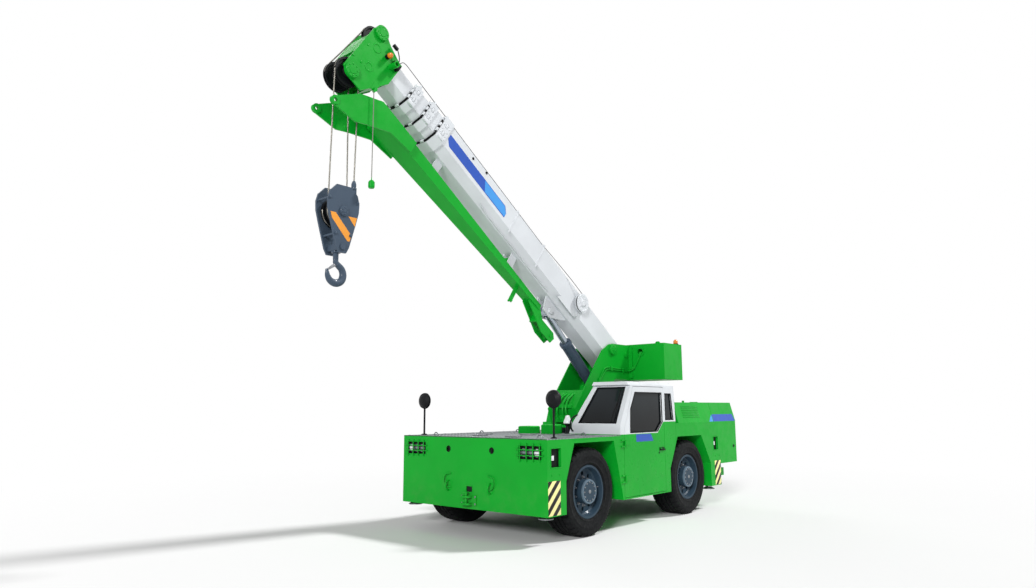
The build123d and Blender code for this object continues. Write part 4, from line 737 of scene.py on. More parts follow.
class StageOperator(bpy.types.Operator):
    """Sets the camera where the photograph was taken, with a pale floor and soft light"""

    bl_idname = "crane.stage"
    bl_label = "Stage"

    def execute(self, context):
        settings = context.scene.crane_stage
        deselect_all()
        bpy.ops.object.camera_add(
            location=spot(6.554, -8.902, 1.548), rotation=[radians(v) for v in (98.804, 0.253, 40.556)]
        )
        camera = context.object
        camera.data.sensor_width = 36
        camera.data.lens = 25.64
        camera.data.clip_end = 300
        context.scene.camera = camera
        bpy.ops.mesh.primitive_plane_add(size=160, location=(0, 20, 0))
        floor = context.object
        floor.name = "floor"
        floor.data.materials.append(self.floor_paint(tuple(settings.floor)))
        self.sky(context, settings)
        self.sun("front_sun", (0.40, -0.85, 0.36), settings.key, 12)
        self.sun("rear_sun", (0.42, 0.55, 0.72), settings.key * 1.25, 7)
        self.sun("far_side_sun", (-0.8, 0.3, 0.5), settings.key * 0.14, 25)
        context.scene.view_settings.view_transform = "Standard"
        return {"FINISHED"}

    def floor_paint(self, tone):
        """Pale matt floor that turns to plain white well away from the crane, where the camera sees it."""
        pale = Finish("floor_paint", 0.9)
        pale.colour(pale.blend(pale.noise(0.6, 2), darker(tone, 0.99), tone))
        x, y = pale.axes()[:2]
        away = pale.math(
            "SQRT",
            pale.math(
                "ADD", pale.math("POWER", x, 2), pale.math("POWER", pale.math("SUBTRACT", y, -18.5), 2)
            ),
        )
        path = pale.tree.nodes.new("ShaderNodeLightPath")
        seen = pale.math("MAXIMUM", path.outputs["Is Camera Ray"], path.outputs["Is Glossy Ray"])
        share = pale.math("MULTIPLY", pale.span(away, 4.0, 12.0), seen)
        white = pale.tree.nodes.new("ShaderNodeEmission")
        white.inputs["Color"].default_value = (1, 1, 1, 1)
        either = pale.tree.nodes.new("ShaderNodeMixShader")
        pale.plug(share, either.inputs[0])
        pale.tree.links.new(pale.shader.outputs[0], either.inputs[1])
        pale.tree.links.new(white.outputs[0], either.inputs[2])
        out = pale.tree.nodes["Material Output"]
        pale.tree.links.new(either.outputs[0], out.inputs["Surface"])
        return pale.material

    def sun(self, name, towards, strength, width):
        """A sun in the direction towards, as wide in degrees as its shadows need to be soft."""
        bpy.ops.object.light_add(type="SUN", location=spot(0, 0, 12))
        light = bpy.context.object
        light.name = name
        light.data.energy = strength
        light.data.angle = radians(width)
        light.rotation_euler = Vector(towards).to_track_quat("Z", "Y").to_euler()

    def sky(self, context, settings):
        world = context.scene.world or bpy.data.worlds.new("studio")
        context.scene.world = world
        world.use_nodes = True
        tree = world.node_tree
        tree.nodes.clear()
        path = tree.nodes.new("ShaderNodeLightPath")
        direct = tree.nodes.new("ShaderNodeMath")
        direct.operation = "MAXIMUM"
        tree.links.new(path.outputs["Is Camera Ray"], direct.inputs[0])
        tree.links.new(path.outputs["Is Transmission Ray"], direct.inputs[1])
        seen = tree.nodes.new("ShaderNodeMath")
        seen.operation = "MAXIMUM"
        tree.links.new(direct.outputs[0], seen.inputs[0])
        tree.links.new(path.outputs["Is Glossy Ray"], seen.inputs[1])
        studio = tree.nodes.new("ShaderNodeBackground")
        studio.inputs["Strength"].default_value = settings.fill
        backdrop = tree.nodes.new("ShaderNodeBackground")
        backdrop.inputs["Strength"].default_value = 1.0
        for node in (studio, backdrop):
            node.inputs["Color"].default_value = (1, 1, 1, 1)
        either = tree.nodes.new("ShaderNodeMixShader")
        out = tree.nodes.new("ShaderNodeOutputWorld")
        tree.links.new(seen.outputs[0], either.inputs[0])
        tree.links.new(studio.outputs[0], either.inputs[1])
        tree.links.new(backdrop.outputs[0], either.inputs[2])
        tree.links.new(either.outputs[0], out.inputs[0])


class FinishOperator(bpy.types.Operator):
    """Mixes the paints, glass, rubber and metals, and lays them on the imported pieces"""

    bl_idname = "crane.finishes"
    bl_label = "Finishes"

    def execute(self, context):
        paint = context.scene.crane_paint
        green, white, slate = tuple(paint.body), tuple(paint.boom), tuple(paint.slate)
        FINISHES.update(
            green=painted("body_green_paint", green),
            white=painted("boom_white_paint", white, 0.36, 0.03, False),
            slate=painted("slate_paint", slate, 0.42, 0.15),
            rim=painted("rim_paint", shade(44, 62, 76), 0.45, 0.1, False),
            hub=painted("hub_cap_paint", shade(92, 110, 124), 0.4, 0.15, False),
            weight=hung_weight(green),
            reflector=bare_metal("lamp_reflector", shade(126, 136, 138), 0.25),
            black=painted("black_paint", shade(14, 16, 19), 0.45, 0.03, False),
            orange=painted("orange_paint", shade(232, 154, 62), 0.4, 0.1, False),
            band=painted("plain_blue_band", tuple(paint.band), 0.35, 0.2, False),
            band_light=painted("plain_light_blue_band", shade(70, 150, 222), 0.35, 0.2, False),
            cab=two_tone_cab(green, white),
            deck=tread_plate(green),
            rubber=rubber(),
            glass=dark_glass(tuple(paint.glass)),
            steel=bare_metal("worn_steel", shade(150, 152, 156), 0.35),
            rod=bare_metal("chromed_rod", shade(176, 186, 196), 0.16, (1, 0.2, 0.2)),
            plastic=moulded("black_moulding", shade(14, 16, 18)),
            seal=moulded("window_seal_rubber", shade(10, 11, 13), 0.7),
            hose=moulded("hose_rubber", shade(28, 30, 34), 0.62),
            clear_lens=lens("clear_lamp_glass", shade(226, 230, 232), 0.15),
            amber_lens=lens("amber_lamp_glass", shade(238, 128, 26), 0.12),
            red_lens=lens("red_lamp_glass", shade(190, 26, 22), 0.1),
            hazard=hazard("hazard_bars", shade(240, 232, 160), shade(28, 28, 30), 0.152),
            rope=wire_rope(),
            fabric=cloth_cover(),
        )
        for name, node in frame["nodes"].items():
            node.data.materials.clear()
            node.data.materials.append(FINISHES[self.pick(name)])
        return {"FINISHED"}

    def pick(self, node):
        starts = (
            (("cab_glass", "door_glass"), "glass"),
            (("cab_shell", "cab_door"), "cab"),
            (("deck",), "deck"),
            (("tyre",), "rubber"),
            (("boom_base", "boom_section", "cable_reel"), "white"),
            (("rim",), "rim"),
            (("stop_weight",), "weight"),
            (("knuckle", "front_axle", "rear_axle", "lift_barrel", "hook_block", "hook"), "slate"),
            (("lift_rod",), "rod"),
            (("outrigger", "hoist_winch"), "steel"),
            (
                (
                    "main_frame", "engine", "slew_ring", "block_sheaves", "head_sheaves", "mirror",
                    "headlamps",
                ),
                "black",
            ),
            (("dashboard",), "plastic"),
            (("turret_beacon",), "amber_lens"),
            (("operator_seat",), "fabric"),
            (("hoist_rope",), "rope"),
        )
        if node == "engine_hood":
            return "green"
        for names, key in starts:
            if node.startswith(names):
                return key
        return "green"


class TyreOperator(bpy.types.Operator):
    """Spins a detailed tyre and cuts its shoulder lugs, once, and copies it to the four wheels"""

    bl_idname = "crane.tyres"
    bl_label = "Tyres"

    def execute(self, context):
        settings = context.scene.crane_tyres
        centre = spot(WHEEL_X, -AXLE_REACH, WHEEL_Z)
        half = [(0.027, 0.535), (0.029, 0.519), (0.039, 0.519), (0.041, 0.535)]
        half += [(0.066, 0.535), (0.089, 0.535), (0.091, 0.519), (0.101, 0.519), (0.103, 0.5345)]
        half += [(0.128, 0.534), (0.152, 0.531), (0.170, 0.518), (0.1795, 0.503), (0.1868, 0.480)]
        half += [(0.1888, 0.474), (0.1905, 0.462), (0.1905, 0.441), (0.1925, 0.437), (0.1925, 0.425)]
        half += [(0.1902, 0.421), (0.186, 0.385), (0.1822, 0.362), (0.1846, 0.356), (0.1846, 0.345)]
        half += [(0.1765, 0.339), (0.166, 0.3265), (0.157, 0.322), (0.153, 0.3003)]
        line = [(-x, r) for x, r in reversed(half)] + half
        line.append(line[0])
        tyre = turned([centre + Vector((x, 0, r)) for x, r in line], centre, (1, 0, 0), settings.steps)
        self.cut_lugs(tyre, centre, settings)
        made = copied(tyre, wheel_moves())
        for (end, side), piece in zip(CORNERS, made):
            settle(
                piece, "tyre_tread_" + end + "_" + side, finish_of("rubber"), "wheel_" + end + "_" + side,
                30,
            )
            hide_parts("tyre_" + end + "_" + side)
        return {"FINISHED"}

    def cut_lugs(self, tyre, centre, settings):
        step = 2 * pi / settings.steps

        def slot(face):
            middle = face.calc_center_median() - centre
            count = int((atan2(middle.z, middle.y) % (2 * pi)) / step)
            tread = middle.yz.length > 0.505
            return count, tread, abs(middle.x)

        edit(tyre)
        pick(tyre, lambda face: slot(face)[1] and slot(face)[2] > 0.104 and slot(face)[0] % 4 == 0)
        bpy.ops.mesh.inset(thickness=0.0025, depth=-settings.lug_depth)
        pick(tyre, lambda face: slot(face)[1] and 0.042 < slot(face)[2] < 0.088 and slot(face)[0] % 4 == 2)
        bpy.ops.mesh.inset(thickness=0.0035, depth=-settings.lug_depth * 0.5)
        leave_edit()


def wheel_moves():
    """From the front left wheel to the front right, rear left and rear right ones."""
    back = Matrix.Translation((0, 2 * AXLE_REACH, 0))
    return MIRROR, back, back @ MIRROR


class WheelOperator(bpy.types.Operator):
    """Adds wheel nuts, the hub cap with its bolts, and the tyre valve to each wheel"""

    bl_idname = "crane.wheels"
    bl_label = "Wheel fittings"

    def execute(self, context):
        count = context.scene.crane_tyres.wheel_nuts
        centre = spot(WHEEL_X, -AXLE_REACH, WHEEL_Z)
        face = WHEEL_X + WHEEL_FACE_OUT
        nut = hex_bolt((face, centre.y, centre.z + WHEEL_NUT_R), (1, 0, 0), 0.0115, 0.024)
        stud = rod(
            (face, centre.y, centre.z + WHEEL_NUT_R), (face + 0.034, centre.y, centre.z + WHEEL_NUT_R),
            0.006, 12,
        )
        nuts = ring_of(joined([nut, stud]), centre, (1, 0, 0), count)
        cap_face = WHEEL_X + HUB_FACE_OUT
        cap = [
            (0.0, 0.146), (0.0015, 0.132), (0.0006, 0.128), (0.0006, 0.096), (-0.004, 0.092),
            (-0.004, 0.05), (0.0006, 0.045), (0.0006, 0.001),
        ]
        disc = [
            Vector((cap_face - 0.022, centre.y, centre.z + 0.1478)),
            Vector((cap_face - 0.014, centre.y, centre.z + 0.1484)),
        ]
        disc += [Vector((cap_face + x, centre.y, centre.z + r)) for x, r in cap]
        hub = softened(turned(disc, centre, (1, 0, 0), 48), 0.001)
        bolt = hex_bolt((cap_face, centre.y, centre.z + 0.112), (1, 0, 0), 0.0075, 0.008)
        bolts = ring_of(bolt, centre, (1, 0, 0), 12)
        plug = rod(
            (cap_face - 0.006, centre.y, centre.z), (cap_face + 0.006, centre.y, centre.z), 0.026, 6, 0.003
        )
        valve = tube(
            [
                (face - 0.01, centre.y + 0.245, centre.z + 0.03),
                (face + 0.03, centre.y + 0.243, centre.z + 0.03),
                (face + 0.055, centre.y + 0.262, centre.z + 0.034),
            ],
            0.0045,
        )
        groups = (("wheel_nuts", joined([nuts, bolts, plug, valve]), "steel"), ("hub_cover", hub, "hub"))
        for name, piece, key in groups:
            place_in_mesh(piece)
            for (end, side), made in zip(CORNERS, copied(piece, wheel_moves())):
                settle(made, name + "_" + end + "_" + side, finish_of(key), "wheel_" + end + "_" + side)
        return {"FINISHED"}


class LampOperator(bpy.types.Operator):
    """Adds the lamp glasses and rims at the front, sides, rear, turret and boom head"""

    bl_idname = "crane.lamps"
    bl_label = "Lamps"

    def execute(self, context):
        out = Vector((0, -1, 0))
        rims, inner, outer = [], [], []
        for hand in (1, -1):
            for x, group in ((0.880, inner), (0.985, inner), (1.080, outer)):
                centre = Vector((hand * x, FRONT_Y + 0.0082, LAMP_Z))
                group.append(dome(centre, out, 0.044, 0.006))
                ring = [
                    (0.044, 0.0), (0.044, -0.0055), (0.048, -0.0055), (0.051, 0.0), (0.051, 0.012),
                    (0.044, 0.012), (0.044, 0.0),
                ]
                rims.append(turned([centre + Vector((r, y, 0)) for r, y in ring], centre, (0, 1, 0), 40))
        settle(joined(rims), "headlamp_rims", finish_of("steel"), "chassis")
        settle(joined(inner), "headlamp_glasses", finish_of("reflector"), "chassis")
        settle(joined(outer), "front_marker_glasses", finish_of("clear_lens"), "chassis")
        self.guards()
        self.side_lamps()
        self.tail_lamps()
        self.beacons()
        return {"FINISHED"}

    def guards(self):
        """Bars in front of each headlamp panel, bent back to it at their ends."""
        bars = []
        for hand in (1, -1):
            for z in (LAMP_Z - 0.033, LAMP_Z + 0.033):
                ends = [
                    (0.772, 0.0), (0.774, -0.016), (0.790, -0.022), (1.160, -0.022), (1.176, -0.016),
                    (1.178, 0.0),
                ]
                bars.append(tube([Vector((hand * x, FRONT_Y + y, z)) for x, y in ends], 0.0065))
            for x in (0.830, 0.932, 1.033, 1.132):
                ends = [
                    (0.934, 0.0), (0.936, -0.010), (0.950, -0.015), (1.125, -0.015), (1.139, -0.010),
                    (1.141, 0.0),
                ]
                bars.append(tube([Vector((hand * x, FRONT_Y + y, z)) for z, y in ends], 0.0065))
        settle(joined(bars), "headlamp_guards", finish_of("green"), "chassis")

    def side_lamps(self):
        bodies, glasses = [], []
        for hand in (1, -1):
            for y0, y1, z0, z1 in SIDE_RECESSES:
                back = SIDE_X - 0.036
                # Painted shade: a dark plate over the whole back of the recess makes the recess read dark;
                # on it sit the small lamp body and its glass.
                bodies.append(
                    bar(
                        spot(hand * back, y0 + 0.001, z0 + 0.001),
                        spot(hand * (back + 0.004), y1 - 0.001, z1 - 0.001), 0.001,
                    )
                )
                low, high = (z0 + z1) / 2 - 0.034, (z0 + z1) / 2 + 0.034
                bodies.append(
                    bar(
                        spot(hand * back, y0 + 0.014, low), spot(hand * (back + 0.018), y0 + 0.076, high),
                        0.005,
                    )
                )
                glasses.append(
                    bar(
                        spot(hand * (back + 0.016), y0 + 0.020, low + 0.006),
                        spot(hand * (back + 0.024), y0 + 0.070, high - 0.006), 0.004,
                    )
                )
        settle(joined(bodies), "side_lamp_bodies", finish_of("plastic"), "chassis")
        settle(joined(glasses), "side_lamp_glasses", finish_of("clear_lens"), "chassis")

    def tail_lamps(self):
        boxes, red, amber, clear = [], [], [], []
        for hand in (1, -1):
            x = hand * 1.08
            boxes.append(bar((x - 0.089, TAIL_Y - 0.05, 1.131), (x + 0.089, TAIL_Y - 0.005, 1.229), 0.004))
            for offset, group in ((-0.056, red), (0.0, clear), (0.056, amber)):
                group.append(dome((x + hand * offset, TAIL_Y - 0.0055, 1.18), (0, 1, 0), 0.025, 0.005))
        settle(joined(boxes), "tail_lamp_boxes", finish_of("black"), "chassis")
        settle(joined(red), "tail_lamp_red_glasses", finish_of("red_lens"), "chassis")
        settle(joined(amber), "tail_lamp_amber_glasses", finish_of("amber_lens"), "chassis")
        settle(joined(clear), "tail_lamp_clear_glasses", finish_of("clear_lens"), "chassis")

    def beacons(self):
        low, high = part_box("turret_beacon")
        middle = (low + high) / 2
        foot = [(0.0, 0.0), (0.048, 0.0), (0.048, 0.012), (0.040, 0.016), (0.040, 0.022), (0.0, 0.022)]
        base = turned(
            [Vector((middle.x + r, middle.y, low.z + z)) for r, z in foot],
            (middle.x, middle.y, 0),
            (0, 0, 1),
            36,
        )
        settle(softened(base, 0.001), "turret_beacon_foot", finish_of("plastic"), "turret")
        place = on_boom(5.47, 0.055, 0.18)
        stalk = rod(place, place + Vector((0.05, 0, 0)), 0.03, 24)
        lamp = dome(place + Vector((0.05, 0, 0)), (1, 0, 0), 0.034, 0.05)
        settle(stalk, "head_beacon_foot", finish_of("plastic"), "section_4")
        settle(lamp, "head_beacon_glass", finish_of("amber_lens"), "section_4")
        front = spot(-0.14, -0.3305, 1.639)
        glass = bar(front + Vector((-0.036, -0.006, -0.030)), front + Vector((0.036, 0.002, 0.030)), 0.004)
        settle(glass, "work_lamp_glass", finish_of("clear_lens"), "turret")
        hood = framed(
            [
                front + Vector((x, 0.0, z))
                for x, z in ((-0.045, -0.041), (0.045, -0.041), (0.045, 0.041), (-0.045, 0.041))
            ],
            0.008,
            (0, -0.012, 0),
            0.001,
        )
        settle(hood, "work_lamp_rim", finish_of("black"), "turret")


class CabOperator(bpy.types.Operator):
    """Adds window seals, the wiper, the door handle, a grab rail and the dome lamp by the cab"""

    bl_idname = "crane.cab"
    bl_label = "Cab trim"

    def execute(self, context):
        door = [
            (-0.408, 1.216), (-0.392, 1.536), (-0.270, 1.760), (0.444, 1.760), (0.453, 1.349),
            (0.308, 1.218),
        ]
        self.seal("door_window_seal", [spot(SIDE_X - 0.006, y, z) for y, z in door], (0.009, 0, 0), "door")
        quarter = [(0.525, 1.372), (0.525, 1.750), (0.709, 1.750), (0.765, 1.372)]
        self.seal(
            "quarter_window_seal", [spot(SIDE_X - 0.006, y, z) for y, z in quarter], (0.009, 0, 0),
            "chassis",
        )
        screen = [(0.552, 1.343), (0.712, 1.826), (1.165, 1.826), (1.165, 1.343)]
        self.seal(
            "windscreen_seal", [self.on_screen(x, z, -0.004) for x, z in screen], self.screen_out() * 0.009,
            "chassis",
        )
        rear = [(0.600, 1.42), (0.712, 1.8), (1.15, 1.8), (1.15, 1.42)]
        self.seal("rear_window_seal", [self.on_rear_pane(x, z) for x, z in rear], (0, 0.009, 0), "chassis")
        inner = [(-0.38, 1.38), (-0.23, 1.78), (0.64, 1.78), (0.69, 1.38)]
        self.seal(
            "inner_window_seal", [self.on_inner_wall(y, z) for y, z in inner], (-0.009, 0, 0.003), "chassis"
        )
        self.wiper()
        self.handle()
        self.dome_lamp()
        self.roof_seam()
        return {"FINISHED"}

    def screen_out(self):
        return Vector((0, -0.888, 0.459))

    def on_screen(self, x, z, out=0.0):
        foot_y, foot_z = SCREEN_FOOT
        return spot(x, foot_y + (z - foot_z) * SCREEN_SLOPE, z) + self.screen_out() * out

    def on_rear_pane(self, x, z):
        foot_y, foot_z = REAR_PANE_FOOT
        return spot(x, foot_y - (z - foot_z) * REAR_PANE_SLOPE - 0.004, z)

    def on_inner_wall(self, y, z):
        foot_x, foot_z = INNER_WALL_FOOT
        return spot(foot_x + (z - foot_z) * INNER_WALL_SLOPE, y, z)

    def seal(self, name, corners, depth, body):
        settle(framed(corners, 0.016, depth), name, finish_of("seal"), body)

    def wiper(self):
        pivot = self.on_screen(1.085, 1.362, 0.0)
        spindle = rod(pivot, pivot + self.screen_out() * 0.03, 0.012, 16)
        arm = tube(
            [
                pivot + self.screen_out() * 0.026, self.on_screen(1.093, 1.45, 0.04),
                self.on_screen(1.112, 1.60, 0.022),
            ],
            0.0055,
        )
        blade = tube(
            [
                self.on_screen(1.128, 1.40, 0.012), self.on_screen(1.112, 1.60, 0.016),
                self.on_screen(1.108, 1.78, 0.012),
            ],
            0.006,
        )
        settle(joined([spindle, arm, blade]), "windscreen_wiper", finish_of("plastic"), "chassis")

    def handle(self):
        plate = bar(spot(SIDE_X - 0.001, 0.340, 0.958), spot(SIDE_X + 0.004, 0.488, 1.002), 0.002)
        grip = bar(spot(SIDE_X + 0.002, 0.352, 0.963), spot(SIDE_X + 0.0245, 0.476, 0.985), 0.006)
        key = rod(spot(SIDE_X, 0.330, 0.930), spot(SIDE_X + 0.006, 0.330, 0.930), 0.012, 20)
        settle(joined([plate, grip, key]), "door_handle", finish_of("plastic"), "door")
        rail = tube(
            [
                spot(0.470, -0.64, 1.24), spot(0.470, -0.70, 1.26), spot(0.475, -0.70, 1.42),
                spot(0.50, -0.575, 1.455),
            ],
            0.011,
        )
        settle(rail, "cab_grab_rail", finish_of("black"), "chassis")

    def dome_lamp(self):
        x, y = 0.277, -0.50
        foot = [
            (0.0, 1.196), (0.05, 1.196), (0.05, 1.206), (0.034, 1.216), (0.026, 1.30), (0.046, 1.318),
            (0.046, 1.338), (0.0, 1.338),
        ]
        bell = [
            (0.0, 1.336), (0.058, 1.336), (0.060, 1.352), (0.050, 1.385), (0.036, 1.412), (0.030, 1.440),
            (0.018, 1.448), (0.0, 1.449),
        ]
        for name, profile, key in (
            ("dome_lamp_foot", foot, "plastic"), ("dome_lamp_glass", bell, "clear_lens")
        ):
            piece = turned([spot(x + r, y, z) for r, z in profile], spot(x, y, 0), (0, 0, 1), 36)
            settle(piece, name, finish_of(key), "chassis")

    def roof_seam(self):
        line = [(-0.395, 1.868), (-0.385, 1.889), (0.70, 1.889), (0.775, 1.862)]
        gutter = tube([spot(SIDE_X - 0.010, y, z - 0.028) for y, z in line], 0.007)
        settle(gutter, "roof_gutter", finish_of("white"), "chassis")


class MarkingOperator(bpy.types.Operator):
    """Lays warning bars on the body corners and plain bands on the boom and door"""

    bl_idname = "crane.markings"
    bl_label = "Markings"

    def execute(self, context):
        plates = []
        for hand in (1, -1):
            for y0, y1, z0, z1 in ((-2.166, -1.934, 0.338, 0.722), (2.028, 2.229, 0.362, 0.728)):
                plates.append(
                    bar(
                        spot(hand * (SIDE_X - 0.001), y0, z0), spot(hand * (SIDE_X + 0.0012), y1, z1),
                        0.0008,
                    )
                )
        settle(joined(plates), "corner_warning_plates", finish_of("hazard"), "chassis")
        for side, hand in (("left", 1), ("right", -1)):
            x = hand * 0.2195
            outline = [
                (2.96, -0.075), (4.20, -0.075), (4.27, 0.0), (4.27, 0.075), (3.03, 0.075), (2.96, 0.0)
            ]
            band = cut_plate([on_boom(s, n, x) for s, n in outline], (hand * 0.0022, 0, 0), 0)
            settle(band, "boom_band_" + side, finish_of("band"), "boom")
            tail = [(2.965, -0.065), (3.42, -0.065), (3.50, 0.065), (3.035, 0.065), (2.965, -0.005)]
            light = cut_plate([on_boom(s, n, x) for s, n in tail], (hand * 0.0034, 0, 0), 0)
            settle(light, "boom_band_tail_" + side, finish_of("band_light"), "boom")
        sticker = [(-0.255, 1.098), (-0.263, 1.196), (0.120, 1.196), (0.185, 1.098)]
        piece = cut_plate([spot(SIDE_X - 0.001, y, z) for y, z in sticker], (0.0022, 0, 0), 0)
        settle(piece, "door_band", finish_of("band"), "door")
        return {"FINISHED"}


class BodyOperator(bpy.types.Operator):
    """Adds panel seams, bolts, hinges and steps to the body"""

    bl_idname = "crane.body"
    bl_label = "Body fittings"

    def execute(self, context):
        self.front()
        self.sides()
        self.hood()
        self.deck()
        return {"FINISHED"}

    def front(self):
        out = (0, -1, 0)
        places = [(x, FRONT_Y - 0.0143, z) for x in (-0.112, 0.112) for z in (0.392, 0.478)]
        settle(bolt_group(places, out, 0.010, 0.008), "coupling_bolts", finish_of("steel"), "chassis")
        frames = []
        for hand in (1, -1):
            corners = [
                (hand * x, FRONT_Y + 0.001, z)
                for x, z in ((0.786, 0.946), (1.164, 0.946), (1.164, 1.129), (0.786, 1.129))
            ]
            frames.append(framed(corners, 0.014, (0, -0.0035, 0), 0.0012))
        hole = [
            Vector((x, FRONT_Y + 0.001, z))
            for x, z in ((-0.062, 0.521), (0.062, 0.521), (0.062, 0.610), (-0.062, 0.610))
        ]
        frames.append(framed(hole, 0.011, (0, -0.004, 0), 0.0012))
        settle(joined(frames), "front_panel_frames", finish_of("green"), "chassis")
        for hand in (1, -1):
            centre = Vector((hand * 0.3735, FRONT_Y, 1.0425))
            ring = [
                (0.0295, 0.004), (0.0295, -0.003), (0.038, -0.003), (0.040, 0.0), (0.040, 0.004),
                (0.0295, 0.004),
            ]
            grommet = turned([centre + Vector((r, y, 0)) for r, y in ring], centre, (0, 1, 0), 36)
            settle(
                grommet, "front_grommet_" + ("left" if hand > 0 else "right"), finish_of("seal"), "chassis"
            )
        loops = []
        for hand in (1, -1):
            bend = [
                (0.315, 0.0, 0.742), (0.325, -0.022, 0.742), (0.405, -0.026, 0.728), (0.432, -0.026, 0.655),
                (0.405, -0.026, 0.585), (0.330, -0.022, 0.572), (0.320, 0.0, 0.572),
            ]
            loops.append(tube([Vector((hand * x, FRONT_Y + y, z)) for x, y, z in bend], 0.008))
        settle(joined(loops), "front_tie_loops", finish_of("green"), "chassis")
        lip = bar((-SIDE_X + 0.002, FRONT_Y, 1.1865), (SIDE_X - 0.002, FRONT_Y + 0.006, 1.1965), 0.002)
        settle(lip, "deck_front_lip", finish_of("green"), "chassis")

    def sides(self):
        bolts, frames, lugs = [], [], []
        for hand in (1, -1):
            x = hand * SIDE_X
            for y0, y1, z0, z1 in SIDE_RECESSES:
                corners = [
                    spot(x, y, z)
                    for y, z in (
                        (y0 - 0.012, z0 - 0.012), (y1 + 0.012, z0 - 0.012), (y1 + 0.012, z1 + 0.012),
                        (y0 - 0.012, z1 + 0.012),
                    )
                ]
                frames.append(framed(corners, 0.011, (hand * 0.003, 0, 0), 0.001))
            lugs.append(rod(spot(x, 2.725, 0.93), spot(x + hand * 0.010, 2.725, 0.93), 0.022, 28, 0.003))
            frames.append(bar(spot(x, -1.700, 1.168), spot(x + hand * 0.0025, -0.82, 1.172), 0.001))
            for y in (-2.10, -1.95, 2.06, 2.20):
                bolts.append(spot(x, y, 0.79 if y < 0 else 0.80))
        settle(joined(frames), "side_recess_frames", finish_of("green"), "chassis")
        settle(joined(lugs), "filler_caps", finish_of("plastic"), "chassis")
        left = bolt_group([p for p in bolts if p.x > 0], (1, 0, 0), 0.008, 0.006)
        right = bolt_group([p for p in bolts if p.x < 0], (-1, 0, 0), 0.008, 0.006)
        settle(joined([left, right]), "jack_housing_bolts", finish_of("green"), "chassis")
        treads = []
        for z in (0.4805, 0.8005):
            for y in (-0.30, -0.225, -0.15, -0.075, 0.0, 0.06):
                treads.append(
                    bar(
                        spot(-SIDE_X + 0.004, y - 0.006, z - 0.001),
                        spot(-SIDE_X + 0.146, y + 0.006, z + 0.006), 0.002,
                    )
                )
        settle(joined(treads), "step_treads", finish_of("steel"), "chassis")

    def hood(self):
        lid_y = 2.048
        knuckles = []
        for x in (-0.9, 0.0, 0.9):
            leaf = bar(spot(x - 0.07, lid_y - 0.060, 1.6255), spot(x + 0.07, lid_y - 0.012, 1.629), 0.001)
            barrel = rod(spot(x - 0.068, lid_y, 1.631), spot(x + 0.068, lid_y, 1.631), 0.0055, 16)
            knuckles += [leaf, barrel]
        settle(joined(knuckles), "hood_hinges", finish_of("green"), "chassis")
        vents = []
        for hand in (1, -1):
            for row in range(7):
                z = 1.40 + row * 0.026
                reach = hood_side(z)
                low = spot(min(hand * (reach - 0.002), hand * (reach + 0.005)), 1.10, z)
                high = spot(max(hand * (reach - 0.002), hand * (reach + 0.005)), 1.62, z + 0.009)
                vents.append(bar(low, high, 0.002))
        settle(joined(vents), "hood_side_louvres", finish_of("green"), "chassis")
        band = [(1.90, 1.330), (2.035, 1.44), (2.035, 1.330)]
        piece = cut_plate([spot(hood_side(z) - 0.0015, y, z) for y, z in band], (0.002, 0, 0), 0)
        settle(piece, "hood_band_front", finish_of("band_light"), "chassis")
        band = [(2.053, 1.330), (2.053, 1.44), (2.78, 1.44), (2.83, 1.330)]
        piece = cut_plate([spot(hood_side(z) - 0.0015, y, z) for y, z in band], (0.002, 0, 0), 0)
        settle(piece, "hood_band_rear", finish_of("band"), "hood")

    def deck(self):
        screws = [spot(x, y, DECK_Z) for y in (-2.12, -1.45, -0.70) for x in (-1.19, -0.6, 0.0, 0.6, 1.19)]
        screws += [spot(x, y, DECK_Z) for y in (-0.2, 0.35, 0.79) for x in (-1.19, -0.6)]
        settle(bolt_group(screws, (0, 0, 1), 0.011, 0.006), "deck_bolts", finish_of("steel"), "chassis")
        joints = []
        for y in (-1.45, -0.72):
            joints.append(
                bar(
                    spot(-SIDE_X + 0.01, y - 0.006, DECK_Z - 0.001),
                    spot(SIDE_X - 0.01, y + 0.006, DECK_Z + 0.0022), 0.001,
                )
            )
        settle(joined(joints), "deck_plate_joints", finish_of("steel"), "chassis")
        chocks = []
        for x, y in ((-0.25, -1.72), (0.15, -1.22), (0.45, -1.86), (-0.55, -1.30), (0.62, -0.98)):
            frame_points = [
                spot(x + a, y + b, DECK_Z)
                for a, b in ((-0.10, -0.05), (0.10, -0.05), (0.10, 0.05), (-0.10, 0.05))
            ]
            chocks.append(framed(frame_points, 0.022, (0, 0, 0.016), 0.004))
        settle(joined(chocks), "deck_lashing_frames", finish_of("steel"), "chassis")


